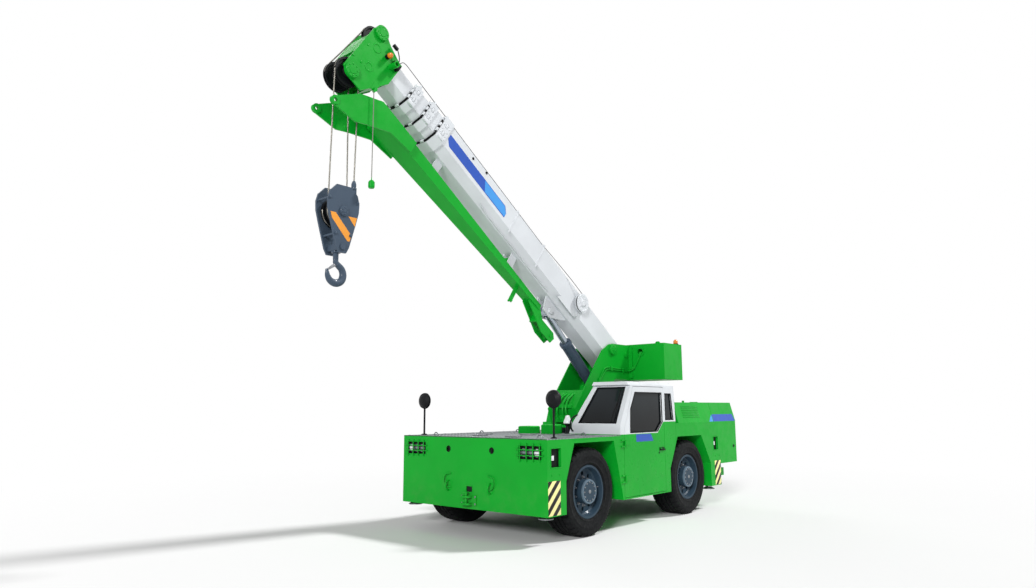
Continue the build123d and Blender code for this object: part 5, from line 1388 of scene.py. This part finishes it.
class TurretOperator(bpy.types.Operator):
    """Adds pivot caps, pipes, hoses and lifting eyes to the turret and counterweight"""

    bl_idname = "crane.turret"
    bl_label = "Turret fittings"

    def execute(self, context):
        caps = []
        for hand in (1, -1):
            face = hand * 0.272
            centre = Vector((face, PIVOT.y, PIVOT.z))
            profile = [
                (0.0, 0.082), (0.006, 0.078), (0.010, 0.060), (0.010, 0.030), (0.014, 0.026), (0.014, 0.001)
            ]
            caps.append(
                turned([centre + Vector((hand * x, 0, r)) for x, r in profile], centre, (1, 0, 0), 40)
            )
            bolt = hex_bolt(centre + Vector((hand * 0.009, 0, 0.046)), (hand, 0, 0), 0.007, 0.007)
            caps.append(ring_of(bolt, centre, (1, 0, 0), 6))
            drum = spot(*DRUM) + Vector((hand * 0.264, 0, 0))
            bolt = hex_bolt(drum + Vector((0, 0, 0.028)), (hand, 0, 0), 0.006, 0.006)
            caps.append(ring_of(bolt, drum, (1, 0, 0), 6))
        settle(joined(caps), "turret_pin_caps", finish_of("green"), "turret")
        self.pipes()
        self.hoses()
        self.counterweight()
        return {"FINISHED"}

    def pipes(self):
        runs = []
        for shift in (0.0, 0.028):
            line = [
                (0.262, 0.20, 1.74), (0.262, 0.27, 1.88), (0.262, 0.42 + shift, 2.10 - shift),
                (0.262, 0.52 + shift, 2.17 - shift),
            ]
            line += [
                (0.264, 0.85, 2.145 - shift), (0.272, 1.10, 2.145 - shift), (0.33, 1.192, 2.17 - shift),
                (0.41, 1.186, 2.27), (0.452, 1.186, 2.36), (0.455 + shift, 1.196, 2.42),
            ]
            runs.append(tube([spot(*point) for point in line], 0.009))
        settle(joined(runs), "turret_side_pipes", finish_of("green"), "turret")
        clips = []
        for y, z in ((0.33, 1.965), (0.66, 2.155), (0.98, 2.138)):
            clips.append(bar(spot(0.2495, y - 0.016, z - 0.050), spot(0.274, y + 0.016, z + 0.030), 0.003))
        settle(joined(clips), "turret_pipe_clips", finish_of("green"), "turret")

    def hoses(self):
        runs = []
        for i, x in enumerate((-0.12, -0.04, 0.05, 0.13)):
            lean = 0.02 * (i % 2)
            line = [
                (x, -0.205, 1.33), (x, -0.31 - lean, 1.42), (x * 0.9, -0.315 - lean, 1.58),
                (x * 0.8, -0.20 - lean, 1.72), (x * 0.7, 0.02, 1.80),
            ]
            runs.append(tube([spot(*point) for point in line], 0.013))
        settle(joined(runs), "turret_front_hoses", finish_of("green"), "turret")
        plate = bar(spot(-0.19, -0.302, 1.545), spot(0.19, -0.276, 1.60), 0.004)
        unions = [
            rod(spot(x, -0.315, 1.560), spot(x, -0.290, 1.560), 0.021, 6, 0.003)
            for x in (-0.108, -0.036, 0.045, 0.117)
        ]
        settle(joined([plate] + unions), "turret_hose_clamp", finish_of("green"), "turret")
        block = bar(spot(-0.12, -0.265, 1.345), spot(0.14, -0.195, 1.445), 0.008)
        spools = [
            rod(spot(x, -0.275, 1.395), spot(x, -0.255, 1.395), 0.019, 24, 0.003)
            for x in (-0.08, -0.02, 0.04, 0.10)
        ]
        settle(joined([block] + spools), "turret_valve_block", finish_of("green"), "turret")

    def counterweight(self):
        eyes = []
        for x in (-0.62, 0.62):
            outline = [
                (x - 0.05, 2.539), (x - 0.04, 2.575), (x - 0.02, 2.592), (x + 0.02, 2.592),
                (x + 0.04, 2.575), (x + 0.05, 2.539),
            ]
            eyes.append(cut_plate([spot(a, 1.45, z) for a, z in outline], (0, 0.022, 0), 0.003))
        seams = [
            bar(spot(-0.871, 1.225, 1.985), spot(-0.868, 1.750, 1.997), 0.001),
            bar(spot(0.868, 1.225, 1.985), spot(0.871, 1.750, 1.997), 0.001),
        ]
        bolts = bolt_group(
            [spot(x, 1.810, z) for x in (-0.72, 0.72) for z in (2.06, 2.46)], (0, 1, 0), 0.016, 0.012
        )
        side = bolt_group([spot(0.31, 1.2045, z) for z in (2.05, 2.45)], (0, -1, 0), 0.012, 0.010)
        settle(
            joined(eyes + seams + [bolts, side]), "counterweight_eyes_and_bolts", finish_of("green"),
            "turret",
        )


class BoomOperator(bpy.types.Operator):
    """Adds collar bolts, guide brackets, straps and the reel's cable to the boom"""

    bl_idname = "crane.boom"
    bl_label = "Boom fittings"

    def execute(self, context):
        self.collars()
        self.straps()
        self.reel()
        self.head()
        self.cylinder()
        return {"FINISHED"}

    def aligned(self, s, n, x, size_s, size_n, size_x, round_off=0.003):
        """A bevelled bar laid along the boom, centred at s, n and x."""
        piece = bar(
            (-size_x / 2, -size_s / 2, -size_n / 2), (size_x / 2, size_s / 2, size_n / 2), round_off
        )
        piece.data.transform(Matrix.Rotation(atan2(-ALONG.z, -ALONG.y), 4, "X"))
        piece.data.transform(Matrix.Translation(on_boom(s, n, x)))
        return piece

    def collars(self):
        for body, front, steps_in in (("boom", 4.45, 0), ("section_2", 4.70, 1), ("section_3", 4.97, 2)):
            shrink = steps_in * STAGE_STEP
            outer = BOOM_HALF - shrink + COLLAR_PROUD
            top = BOOM_TOP - shrink + COLLAR_PROUD
            length = 0.150 if body == "boom" else 0.110
            middle = front - length / 2
            parts = []
            for hand in (1, -1):
                bolt = [
                    on_boom(middle + a, n, hand * outer)
                    for a in (-0.045, 0.045)
                    for n in (-0.045, 0.02, 0.085)
                ]
                parts.append(bolt_group(bolt, (hand, 0, 0), 0.0075, 0.007))
                for n in (-0.037, 0.093):
                    parts.append(
                        self.aligned(middle, n, hand * (outer - 0.004), 0.036, 0.056, 0.014, 0.004)
                    )
            guide = self.aligned(middle, top + 0.030, 0.0, 0.016, 0.060, 0.110, 0.003)
            ends = [
                self.aligned(middle, top + 0.052, side * 0.048, 0.050, 0.016, 0.014, 0.003)
                for side in (-1, 1)
            ]
            roller = rod(
                on_boom(middle, top + 0.048, -0.042), on_boom(middle, top + 0.048, 0.042), 0.013, 20
            )
            post = self.aligned(middle, top + 0.034, 0.150, 0.030, 0.070, 0.014, 0.003)
            for side in (-1, 1):
                parts.append(self.aligned(middle, top + 0.034, side * 0.098, 0.100, 0.072, 0.040, 0.006))
                parts.append(
                    self.aligned(middle, 0.150 - shrink, side * (outer - 0.030), 0.100, 0.050, 0.050, 0.006)
                )
                parts.append(
                    self.aligned(middle, -0.118, side * (outer - 0.006), 0.100, 0.046, 0.050, 0.006)
                )
            parts += [guide, roller, post] + ends
            settle(joined(parts), "collar_fittings_" + body, finish_of("white"), body)
            pads = [
                self.aligned(middle, n, hand * (outer - 0.012), 0.030, 0.050, 0.010, 0.002)
                for hand in (1, -1)
                for n in (-0.037, 0.093)
            ]
            settle(joined(pads), "collar_pads_" + body, finish_of("plastic"), body)
            self.mouth(body, front, outer, BOOM_UNDER - shrink + COLLAR_PROUD, top)

    def mouth(self, body, front, outer, under, top):
        """A dark ring round the mouth of a stage, as painted shade in the gap between stages, and the
        bright plates that clamp it.
        """
        half, low, high, slant = outer - 0.006, -under + 0.006, top - 0.006, 0.104
        corners = [(-half, low + slant), (-half + slant, low), (half - slant, low), (half, low + slant)]
        corners += [
            (half, high - slant), (half - slant, high), (-half + slant, high), (-half, high - slant)
        ]
        # Painted shade: a dark rubber ring stands in for the shade in the gap where the next stage comes
        # out.
        ring = framed([on_boom(front, n, x) for x, n in corners], 0.026, ALONG * 0.022, 0.002)
        settle(ring, "wiper_ring_" + body, finish_of("seal"), body)
        clamps = []
        for hand in (1, -1):
            for n in (-0.060, 0.040):
                clamps.append(
                    self.aligned(front + 0.018, n, hand * (outer - 0.014), 0.024, 0.050, 0.030, 0.003)
                )
        for n in (high - 0.010, low + 0.010):
            for x in (-0.07, 0.07):
                clamps.append(self.aligned(front + 0.018, n, x, 0.024, 0.030, 0.060, 0.003))
        settle(joined(clamps), "wiper_clamps_" + body, finish_of("white"), body)

    def straps(self):
        parts = []
        for s in (2.78, 2.10):
            for hand in (1, -1):
                parts.append(self.aligned(s, 0.0, hand * 0.2215, 0.030, 0.360, 0.004, 0.001))
            parts.append(self.aligned(s, 0.2075, 0.0, 0.030, 0.004, 0.400, 0.001))
            parts.append(self.aligned(s, 0.222, 0.190, 0.040, 0.030, 0.040, 0.004))
            parts.append(self.aligned(s, 0.2245, 0.0, 0.020, 0.036, 0.100, 0.003))
        rail = tube(
            [
                on_boom(3.35, -0.205, 0.165), on_boom(3.33, -0.222, 0.150), on_boom(2.6, -0.222, 0.150),
                on_boom(1.9, -0.222, 0.150), on_boom(1.66, -0.218, 0.155),
            ],
            0.008,
        )
        settle(joined(parts + [rail]), "boom_straps", finish_of("white"), "boom")
        plugs = []
        for s, n in ((3.82, 0.135), (3.54, 0.170)):
            centre = on_boom(s, n, 0.2195)
            plugs.append(rod(centre, centre + Vector((0.005, 0, 0)), 0.019, 24, 0.0015))
        settle(joined(plugs), "boom_side_plugs", finish_of("seal"), "boom")

    def reel(self):
        x0 = REEL_FACE_X
        centre = on_boom(*REEL)
        turns = []
        for row in range(3):
            radius = 0.108 + row * 0.009
            loop = [
                (x0 + 0.043, radius), (x0 + 0.050, radius + 0.0045), (x0 + 0.057, radius),
                (x0 + 0.050, radius - 0.0045), (x0 + 0.043, radius),
            ]
            turns.append(turned([centre + Vector((x, 0, r)) for x, r in loop], centre, (1, 0, 0), 56))
        settle(joined(turns), "reel_cable", finish_of("hose"), "boom")
        cover = [
            (x0 + 0.0745, 0.128), (x0 + 0.0775, 0.124), (x0 + 0.0775, 0.108), (x0 + 0.0745, 0.104),
            (x0 + 0.0745, 0.075), (x0 + 0.0775, 0.071), (x0 + 0.0775, 0.063),
        ]
        rings = turned([centre + Vector((x, 0, r)) for x, r in cover], centre, (1, 0, 0), 56)
        bolt = hex_bolt(centre + Vector((x0 + 0.074, 0, 0.092)), (1, 0, 0), 0.006, 0.005)
        settle(
            joined([rings, ring_of(bolt, centre, (1, 0, 0), 8)]), "reel_cover_rings", finish_of("white"),
            "boom",
        )

    def head(self):
        parts = []
        for s, n in (LOWER_AXLE, UPPER_AXLE):
            for hand in (1, -1):
                centre = on_boom(s, n, hand * 0.200)
                profile = [(0.0, 0.088), (0.005, 0.084), (0.005, 0.050), (0.010, 0.044), (0.010, 0.001)]
                parts.append(
                    turned([centre + Vector((hand * x, 0, r)) for x, r in profile], centre, (1, 0, 0), 40)
                )
                bolt = hex_bolt(centre + Vector((hand * 0.004, 0, 0.066)), (hand, 0, 0), 0.006, 0.006)
                parts.append(ring_of(bolt, centre, (1, 0, 0), 8))
        for s, n in ((5.62, 0.02), (5.56, -0.26)):
            for hand in (1, -1):
                centre = on_boom(s, n, hand * 0.180)
                ring = [(0.0, 0.040), (0.004, 0.044), (0.004, 0.058), (0.0, 0.062)]
                parts.append(
                    turned([centre + Vector((hand * x, 0, r)) for x, r in ring], centre, (1, 0, 0), 40)
                )
        for s, n in ((5.72, -0.06), (5.775, -0.336), (5.66, -0.310)):
            parts.append(rod(on_boom(s, n, -0.186), on_boom(s, n, 0.186), 0.012, 20))
        settle(joined(parts), "head_caps_and_guards", finish_of("green"), "section_4")
        arm = tube(
            [
                on_boom(5.34, 0.02, 0.184), on_boom(5.31, 0.10, 0.22), on_boom(5.40, 0.20, 0.23),
                on_boom(5.47, 0.235, 0.225),
            ],
            0.006,
        )
        camera = self.aligned(5.475, 0.22, 0.225, 0.075, 0.035, 0.035, 0.005)
        box = self.aligned(5.335, 0.045, 0.215, 0.11, 0.075, 0.062, 0.008)
        settle(joined([arm, camera, box]), "head_switch_and_arm", finish_of("black"), "section_4")

    def cylinder(self):
        eye = Vector(JOINTS["lift_barrel_swing"]["pos_m"])
        axis = Vector(JOINTS["lift_rod_stroke"]["axis"])
        side = Vector((1, 0, 0)).cross(axis).normalized()
        gland = eye + axis * 1.010
        ring = [
            (0.0, 0.0535), (0.005, 0.056), (0.005, 0.078), (-0.012, 0.0915), (-0.055, 0.0915),
            (-0.060, 0.085),
        ]
        cap = turned([gland + axis * a + side * r for a, r in ring], gland, axis, 40)
        bolt = hex_bolt(gland + axis * 0.004 + side * 0.068, axis, 0.006, 0.006)
        bolts = ring_of(bolt, gland, axis, 10)
        pipe = tube(
            [
                eye + axis * 0.14 + Vector((0.066, 0, 0)), eye + axis * 0.16 + Vector((0.098, 0, 0)),
                eye + axis * 0.55 + Vector((0.100, 0, 0)), eye + axis * 0.93 + Vector((0.098, 0, 0)),
                eye + axis * 0.965 + Vector((0.080, 0, 0)),
            ],
            0.009,
        )
        clips = [
            turned(
                [
                    eye + axis * (a + b) + side * r
                    for b, r in ((0.0, 0.0845), (0.0, 0.0875), (0.02, 0.0875), (0.02, 0.0845))
                ],
                eye,
                axis,
                40,
            )
            for a in (0.35, 0.70)
        ]
        settle(
            joined([cap, bolts, pipe] + clips), "lift_cylinder_fittings", finish_of("slate"), "lift_barrel"
        )


STAGE_BREAKS = (
    (4.30, 4.56, "boom", "section_2"), (4.62, 4.83, "section_2", "section_3"),
    (4.89, 5.16, "section_3", "section_4"),
)


class RopeOperator(bpy.types.Operator):
    """Runs the hoist rope over the boom and head and down to the block, and the switch cable"""

    bl_idname = "crane.ropes"
    bl_label = "Ropes"

    def execute(self, context):
        rope = context.scene.crane_rope
        self.over_boom("hoist_rope_top", ROPE_TOP_N, 0.0, rope.radius, "rope")
        self.over_boom("switch_cable", CABLE_TOP_N, CABLE_X, rope.cable, "hose")
        self.winch(rope.radius)
        self.head(rope.radius)
        self.falls(rope.radius)
        start = on_boom(1.03, 0.18, 0.272)
        lead = tube(
            [
                start, on_boom(1.25, 0.20, 0.262), on_boom(1.75, 0.24, 0.20),
                on_boom(2.1, CABLE_TOP_N, CABLE_X),
            ],
            rope.cable,
        )
        settle(lead, "switch_cable_lead", finish_of("hose"), "boom")
        end = tube(
            [
                on_boom(5.18, CABLE_TOP_N, CABLE_X), on_boom(5.27, 0.25, 0.165), on_boom(5.31, 0.14, 0.20),
                on_boom(5.335, 0.06, 0.215),
            ],
            rope.cable,
        )
        settle(end, "switch_cable_end", finish_of("hose"), "section_4")
        return {"FINISHED"}

    def straight(self, start, end, radius, steps):
        """A taut length of rope, divided into even steps."""
        start, end = Vector(start), Vector(end)
        return tube([start.lerp(end, i / steps) for i in range(steps + 1)], radius, 3, 2)

    def laid(self, piece, length):
        """Stretches the rope's own map so that the strands keep one lay along any length."""
        map_layer = piece.data.uv_layers.active
        if map_layer:
            for loop in map_layer.data:
                loop.uv = (loop.uv[1], loop.uv[0] * length / LAY)

    def over_boom(self, name, n, x, radius, key):
        reach = 2.1 if key == "hose" else 0.30
        first = self.straight(on_boom(reach, n, x), on_boom(4.30, n, x), radius, 8)
        self.laid(first, 4.30 - reach)
        settle(first, name + "_base", finish_of(key), "boom")
        for index, (s0, s1, lower, upper) in enumerate(STAGE_BREAKS):
            piece = self.straight(on_boom(s0, n, x), on_boom(s1, n, x), radius, 24)
            self.laid(piece, s1 - s0)
            self.joint_piece(
                piece, name + "_stage_" + str(index + 2), key, lower, upper, on_boom(s0, n, x),
                on_boom(s1, n, x),
            )
        for index, (s0, s1, body) in enumerate(
            ((4.56, 4.62, "section_2"), (4.83, 4.89, "section_3"), (5.16, 5.18, "section_4"))
        ):
            piece = self.straight(on_boom(s0, n, x), on_boom(s1, n, x), radius, 2)
            self.laid(piece, s1 - s0)
            settle(piece, name + "_link_" + str(index + 2), finish_of(key), body)

    def joint_piece(self, piece, name, key, lower, upper, start, end):
        place_in_mesh(piece)
        piece.name = name
        piece.data.name = name
        piece.data.materials.clear()
        piece.data.materials.append(finish_of(key))
        bpy.ops.object.shade_smooth_by_angle(angle=radians(40))
        deselect_all()
        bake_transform(piece)

    def winch(self, radius):
        drum = spot(*DRUM)
        wraps = []
        for i in range(DRUM_WRAPS):
            x = -0.1955 + i * 0.0337
            slant = radius * 0.7
            loop = [
                (x - radius, DRUM_R), (x - slant, DRUM_R + slant), (x, DRUM_R + radius),
                (x + slant, DRUM_R + slant),
            ]
            loop += [(x + radius, DRUM_R), (x, DRUM_R - radius), (x - radius, DRUM_R)]
            wraps.append(turned([drum + Vector((a, 0, r)) for a, r in loop], drum, (1, 0, 0), 40))
        coil = joined(wraps)
        settle(coil, "drum_rope_wraps", finish_of("steel"), "turret")
        start, end = drum + Vector((0, 0.02, 0.071)), on_boom(0.30, ROPE_TOP_N)
        piece = tube(
            [
                start, drum + Vector((0, -0.03, 0.085)), on_boom(-0.16, 0.245), on_boom(0.02, ROPE_TOP_N),
                on_boom(0.15, ROPE_TOP_N), end,
            ],
            radius,
            3,
            10,
        )
        self.laid(piece, 0.8)
        self.joint_piece(
            piece, "hoist_rope_tail", "rope", "turret", "boom", start, on_boom(0.05, ROPE_TOP_N)
        )

    def head(self, radius):
        groove = UPPER_GROOVE_R + radius + 0.0005
        top = [on_boom(5.18, ROPE_TOP_N), on_boom(5.42, 0.285)]
        for turn in (100, 70, 40, 10, -10):
            s, n = UPPER_AXLE
            top.append(
                on_boom(s + groove * 1.04 * cos(radians(turn)), n + groove * 1.04 * sin(radians(turn)))
            )
        low = HEAD_GROOVE_R + radius + 0.0005
        meets = radians(150)
        lead = top + [
            on_boom(5.823, 0.02, -0.03), on_boom(5.829, -0.25, -0.075), on_boom(5.840, -0.44, -0.094)
        ]
        lead.append(
            HEAD_AXLE + Vector((-HEAD_SHEAVE_X, low * 1.012 * cos(meets), low * 1.012 * sin(meets)))
        )
        piece = tube(lead, radius, 3, 8)
        self.laid(piece, 1.3)
        settle(piece, "hoist_rope_head", finish_of("rope"), "section_4")
        arcs = []
        for x in (-HEAD_SHEAVE_X, HEAD_SHEAVE_X):
            points = []
            for turn in range(-5, 190, 15):
                angle = radians(turn)
                points.append(HEAD_AXLE + Vector((x, low * 1.012 * cos(angle), low * 1.012 * sin(angle))))
            arcs.append(tube(points, radius, 3, 6))
        wrap = joined(arcs)
        self.laid(wrap, 0.5)
        settle(wrap, "sheave_rope_wraps", finish_of("rope"), "section_4")

    def falls(self, radius):
        low_z = HEAD_AXLE.z - BLOCK_DROP
        high, low = HEAD_GROOVE_R + radius + ROPE_GAP, BLOCK_GROOVE_R + radius + ROPE_GAP
        ends = (
            ((HEAD_SHEAVE_X, -high, 0), (BLOCK_SHEAVE_X, -low, -BLOCK_DROP)),
            ((-HEAD_SHEAVE_X, high, 0), (-BLOCK_SHEAVE_X, low, -BLOCK_DROP)),
            ((HEAD_SHEAVE_X, high, 0), (0.107, 0.128, -SOCKET_DROP)),
        )
        pieces = []
        for start, end in ends:
            piece = self.straight(HEAD_AXLE + Vector(start), HEAD_AXLE + Vector(end), radius, 26)
            self.laid(piece, (Vector(end) - Vector(start)).length)
            pieces.append(piece)
        falls = joined(pieces)
        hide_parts("hoist_rope")
        self.joint_piece(
            falls, "hoist_rope_falls", "rope", "falls", "block", HEAD_AXLE,
            HEAD_AXLE + Vector((0, 0, -SOCKET_DROP)),
        )
        arcs = []
        for x in (-BLOCK_SHEAVE_X, BLOCK_SHEAVE_X):
            points = []
            for turn in range(-185, 6, 15):
                angle = radians(turn)
                points.append(
                    Vector((x, HEAD_AXLE.y, low_z)) + Vector(
                        (0, low * 1.012 * cos(angle), low * 1.012 * sin(angle))
                    )
                )
            arcs.append(tube(points, radius, 3, 6))
        wraps = joined(arcs)
        self.laid(wraps, 0.5)
        settle(wraps, "block_rope_wraps", finish_of("rope"), "block")
        socket = cut_plate(
            [
                HEAD_AXLE + Vector((0.090, y, z))
                for y, z in (
                    (0.104, -1.300), (0.104, -SOCKET_DROP), (0.118, -1.225), (0.138, -1.225),
                    (0.152, -SOCKET_DROP), (0.152, -1.300),
                )
            ],
            (0.034, 0, 0),
            0.006,
        )
        settle(socket, "rope_socket", finish_of("slate"), "block")


class BlockOperator(bpy.types.Operator):
    """Forms the forged hook with its latch, and the hook block's plates, bars and bolts"""

    bl_idname = "crane.block"
    bl_label = "Hook block"

    def execute(self, context):
        self.hook()
        bars, plates = [], []
        for hand in (1, -1):
            x = hand * 0.1195
            stripe = [
                (-0.150, -1.690), (-0.170, -1.625), (-0.105, -1.625), (0.105, -1.845), (0.085, -1.915),
                (0.055, -1.915),
            ]
            bars.append(
                cut_plate([HEAD_AXLE + Vector((x, y, z)) for y, z in stripe], (hand * 0.0018, 0, 0), 0)
            )
            corner = [(0.060, -1.640), (0.172, -1.640), (0.148, -1.740)]
            bars.append(
                cut_plate([HEAD_AXLE + Vector((x, y, z)) for y, z in corner], (hand * 0.0018, 0, 0), 0)
            )
            centre = HEAD_AXLE + Vector((hand * 0.134, 0, -BLOCK_DROP))
            profile = [(0.0, 0.050), (0.005, 0.046), (0.005, 0.020), (0.009, 0.016), (0.009, 0.001)]
            plates.append(
                turned([centre + Vector((hand * a, 0, r)) for a, r in profile], centre, (1, 0, 0), 36)
            )
            bolt = hex_bolt(centre + Vector((hand * 0.004, 0, 0.034)), (hand, 0, 0), 0.0055, 0.006)
            plates.append(ring_of(bolt, centre, (1, 0, 0), 6))
            for y, z in ((-0.18, -1.470), (0.18, -1.470), (-0.096, -1.850), (0.096, -1.850)):
                plates.append(
                    hex_bolt(HEAD_AXLE + Vector((hand * 0.120, y, z)), (hand, 0, 0), 0.015, 0.012)
                )
        settle(joined(bars), "block_warning_bars", finish_of("orange"), "block")
        settle(joined(plates), "block_caps_and_bolts", finish_of("slate"), "block")
        return {"FINISHED"}

    def hook(self):
        low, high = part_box("hook")
        base = Vector((0, HEAD_AXLE.y, low.z))
        line = [
            (0.0, 0.325, 0.027), (0.0, 0.285, 0.029), (0.004, 0.262, 0.032), (0.030, 0.244, 0.034),
            (0.085, 0.205, 0.036), (0.105, 0.140, 0.039),
        ]
        line += [
            (0.082, 0.070, 0.042), (0.010, 0.038, 0.042), (-0.064, 0.062, 0.036), (-0.098, 0.115, 0.029),
            (-0.103, 0.158, 0.021), (-0.112, 0.188, 0.012),
        ]
        deselect_all()
        curve = bpy.data.curves.new("hook_line", "CURVE")
        curve.dimensions = "3D"
        spine = curve.splines.new("NURBS")
        spine.points.add(len(line) - 1)
        for knot, (y, z, r) in zip(spine.points, line):
            knot.co = (*(base + Vector((0, y, z))), 1)
            knot.radius = r
        spine.order_u = 3
        spine.use_endpoint_u = True
        curve.resolution_u = 10
        curve.bevel_depth = 1.0
        curve.bevel_resolution = 8
        curve.use_fill_caps = True
        piece = bpy.data.objects.new("hook_body", curve)
        bpy.context.scene.collection.objects.link(piece)
        piece.select_set(True)
        bpy.context.view_layer.objects.active = piece
        bpy.ops.object.convert(target="MESH")
        body = bpy.context.object
        top = high.z
        shank = rod((0, base.y, base.z + 0.30), (0, base.y, top - 0.004), 0.0298, 32)
        nut = rod((0, base.y, top - 0.046), (0, base.y, top - 0.001), 0.045, 8, 0.004)
        collar = [
            (0.0305, 0.0), (0.049, 0.004), (0.052, 0.014), (0.049, 0.024), (0.0305, 0.026), (0.0305, 0.0)
        ]
        under = HEAD_AXLE.z - HOOK_SEAT_DROP - 0.0343 - 0.026
        ring = turned([(r, base.y, under + z) for r, z in collar], (0, base.y, 0), (0, 0, 1), 36)
        latch_outline = [(0.020, 0.262), (-0.010, 0.268), (-0.108, 0.186), (-0.098, 0.170), (0.010, 0.236)]
        latch = cut_plate([base + Vector((-0.016, y, z)) for y, z in latch_outline], (0.032, 0, 0), 0.003)
        spring = rod(base + Vector((-0.030, 0.008, 0.252)), base + Vector((0.030, 0.008, 0.252)), 0.009, 16)
        settle(joined([body, shank, nut, ring]), "forged_hook", finish_of("slate"), "hook", 50)
        settle(joined([latch, spring]), "hook_latch", finish_of("steel"), "hook")
        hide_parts("hook")


class SeatOperator(bpy.types.Operator):
    """Makes the operator's seat with its padded cushions, and the console's levers"""

    bl_idname = "crane.seat"
    bl_label = "Seat"

    def execute(self, context):
        cushion = self.pad("seat_cushion", (0.655, 0.095, 0.648), (1.025, 0.500, 0.822), (0, 0, 0), None)
        back = self.pad(
            "seat_back", (-0.180, -0.045, 0.0), (0.180, 0.052, 0.545), (radians(-10), 0, 0),
            spot(0.84, 0.515, 0.81),
        )
        rest = self.pad(
            "head_rest", (-0.105, -0.030, 0.558), (0.105, 0.040, 0.690), (radians(-10), 0, 0),
            spot(0.84, 0.515, 0.81),
        )
        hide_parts("operator_seat")
        frame_bars = [bar(spot(0.66, 0.11, 0.6403), spot(1.02, 0.49, 0.655), 0.004)]
        frame_bars.append(rod(spot(0.79, 0.60, 1.33), spot(0.79, 0.63, 1.50), 0.007, 12))
        frame_bars.append(rod(spot(0.89, 0.60, 1.33), spot(0.89, 0.63, 1.50), 0.007, 12))
        settle(joined(frame_bars), "seat_frame", finish_of("black"), "chassis")
        levers = []
        for x in (0.62, 0.68, 1.00, 1.06):
            stem = tube([spot(x, -0.47, 1.24), spot(x, -0.45, 1.30), spot(x, -0.44, 1.36)], 0.005)
            knob = dome(spot(x, -0.44, 1.355), (0, 0.1, 1), 0.014, 0.020, 20)
            levers += [stem, knob]
        settle(joined(levers), "console_levers", finish_of("plastic"), "chassis")
        return {"FINISHED"}

    def pad(self, name, low, high, turn, place):
        """A crowned cushion: a divided block, pulled in between its corners and smoothed."""
        piece = bar(low, high, 0.012) if place else bar(spot(*low), spot(*high), 0.02)
        edit(piece)
        bpy.ops.mesh.select_all(action="SELECT")
        bpy.ops.mesh.subdivide(number_cuts=6, smoothness=0.25)
        leave_edit()
        bpy.context.view_layer.objects.active = piece
        smooth = piece.modifiers.new("filling", "SUBSURF")
        smooth.levels = 1
        smooth.render_levels = 1
        bpy.ops.object.modifier_apply(modifier=smooth.name)
        if place:
            piece.rotation_euler = turn
            piece.location = place
            piece.select_set(True)
            place_in_mesh(piece)
        return settle(piece, name, finish_of("fabric"), "chassis", 60)


class MirrorOperator(bpy.types.Operator):
    """Adds the silvered glass and clamp of each front mirror"""

    bl_idname = "crane.mirrors"
    bl_label = "Mirrors"

    def execute(self, context):
        silver = bare_metal("mirror_silver", shade(206, 212, 216), 0.04)
        for side, hand in (("left", 1), ("right", -1)):
            centre = spot(hand * 1.125, -1.9055, 1.655)
            settle(dome(centre, (0, 1, 0), 0.098, 0.016, 48), "mirror_glass_" + side, silver, "chassis")
            rim = [
                (0.100, 0.0), (0.108, 0.001), (0.1085, 0.007), (0.104, 0.012), (0.098, 0.010), (0.098, 0.0),
                (0.100, 0.0),
            ]
            ring = turned([centre + Vector((r, y, 0)) for r, y in rim], centre, (0, 1, 0), 56)
            clamp = rod(
                spot(hand * 1.125, -1.91, 1.545), spot(hand * 1.125, -1.91, 1.590), 0.019, 20, 0.003
            )
            foot = bolt_group(
                [
                    spot(hand * 1.125 + a, -1.91 + b, DECK_Z + 0.010)
                    for a, b in ((0.029, 0), (-0.029, 0), (0, 0.029), (0, -0.029))
                ],
                (0, 0, 1),
                0.0055,
                0.006,
            )
            settle(joined([ring, clamp, foot]), "mirror_fittings_" + side, finish_of("plastic"), "chassis")
        return {"FINISHED"}


STEPS = (
    StageOperator, FinishOperator, TyreOperator, WheelOperator, LampOperator, CabOperator, MarkingOperator,
    BodyOperator, TurretOperator, BoomOperator, RopeOperator, BlockOperator, SeatOperator, MirrorOperator,
)


class CranePanel(bpy.types.Panel):
    bl_idname = "VIEW3D_PT_crane"
    bl_label = "Carry-Deck Crane"
    bl_space_type = "VIEW_3D"
    bl_region_type = "UI"
    bl_category = "Crane"

    def draw(self, context):
        for name in GROUP_NAMES:
            settings = getattr(context.scene, name)
            box = self.layout.box()
            for key in settings.__annotations__:
                box.prop(settings, key)
        for step in STEPS:
            self.layout.operator(step.bl_idname)


def register():
    for kind in GROUPS + STEPS + (CranePanel,):
        bpy.utils.register_class(kind)
    for name, group in zip(GROUP_NAMES, GROUPS):
        setattr(bpy.types.Scene, name, PointerProperty(type=group))


def unregister():
    for name in GROUP_NAMES:
        delattr(bpy.types.Scene, name)
    for kind in reversed(GROUPS + STEPS + (CranePanel,)):
        bpy.utils.unregister_class(kind)


def main():
    register()
    for step in STEPS:
        group, name = step.bl_idname.split(".")
        getattr(getattr(bpy.ops, group), name)()
    deselect_all()


if __name__ == "__main__":
    main()
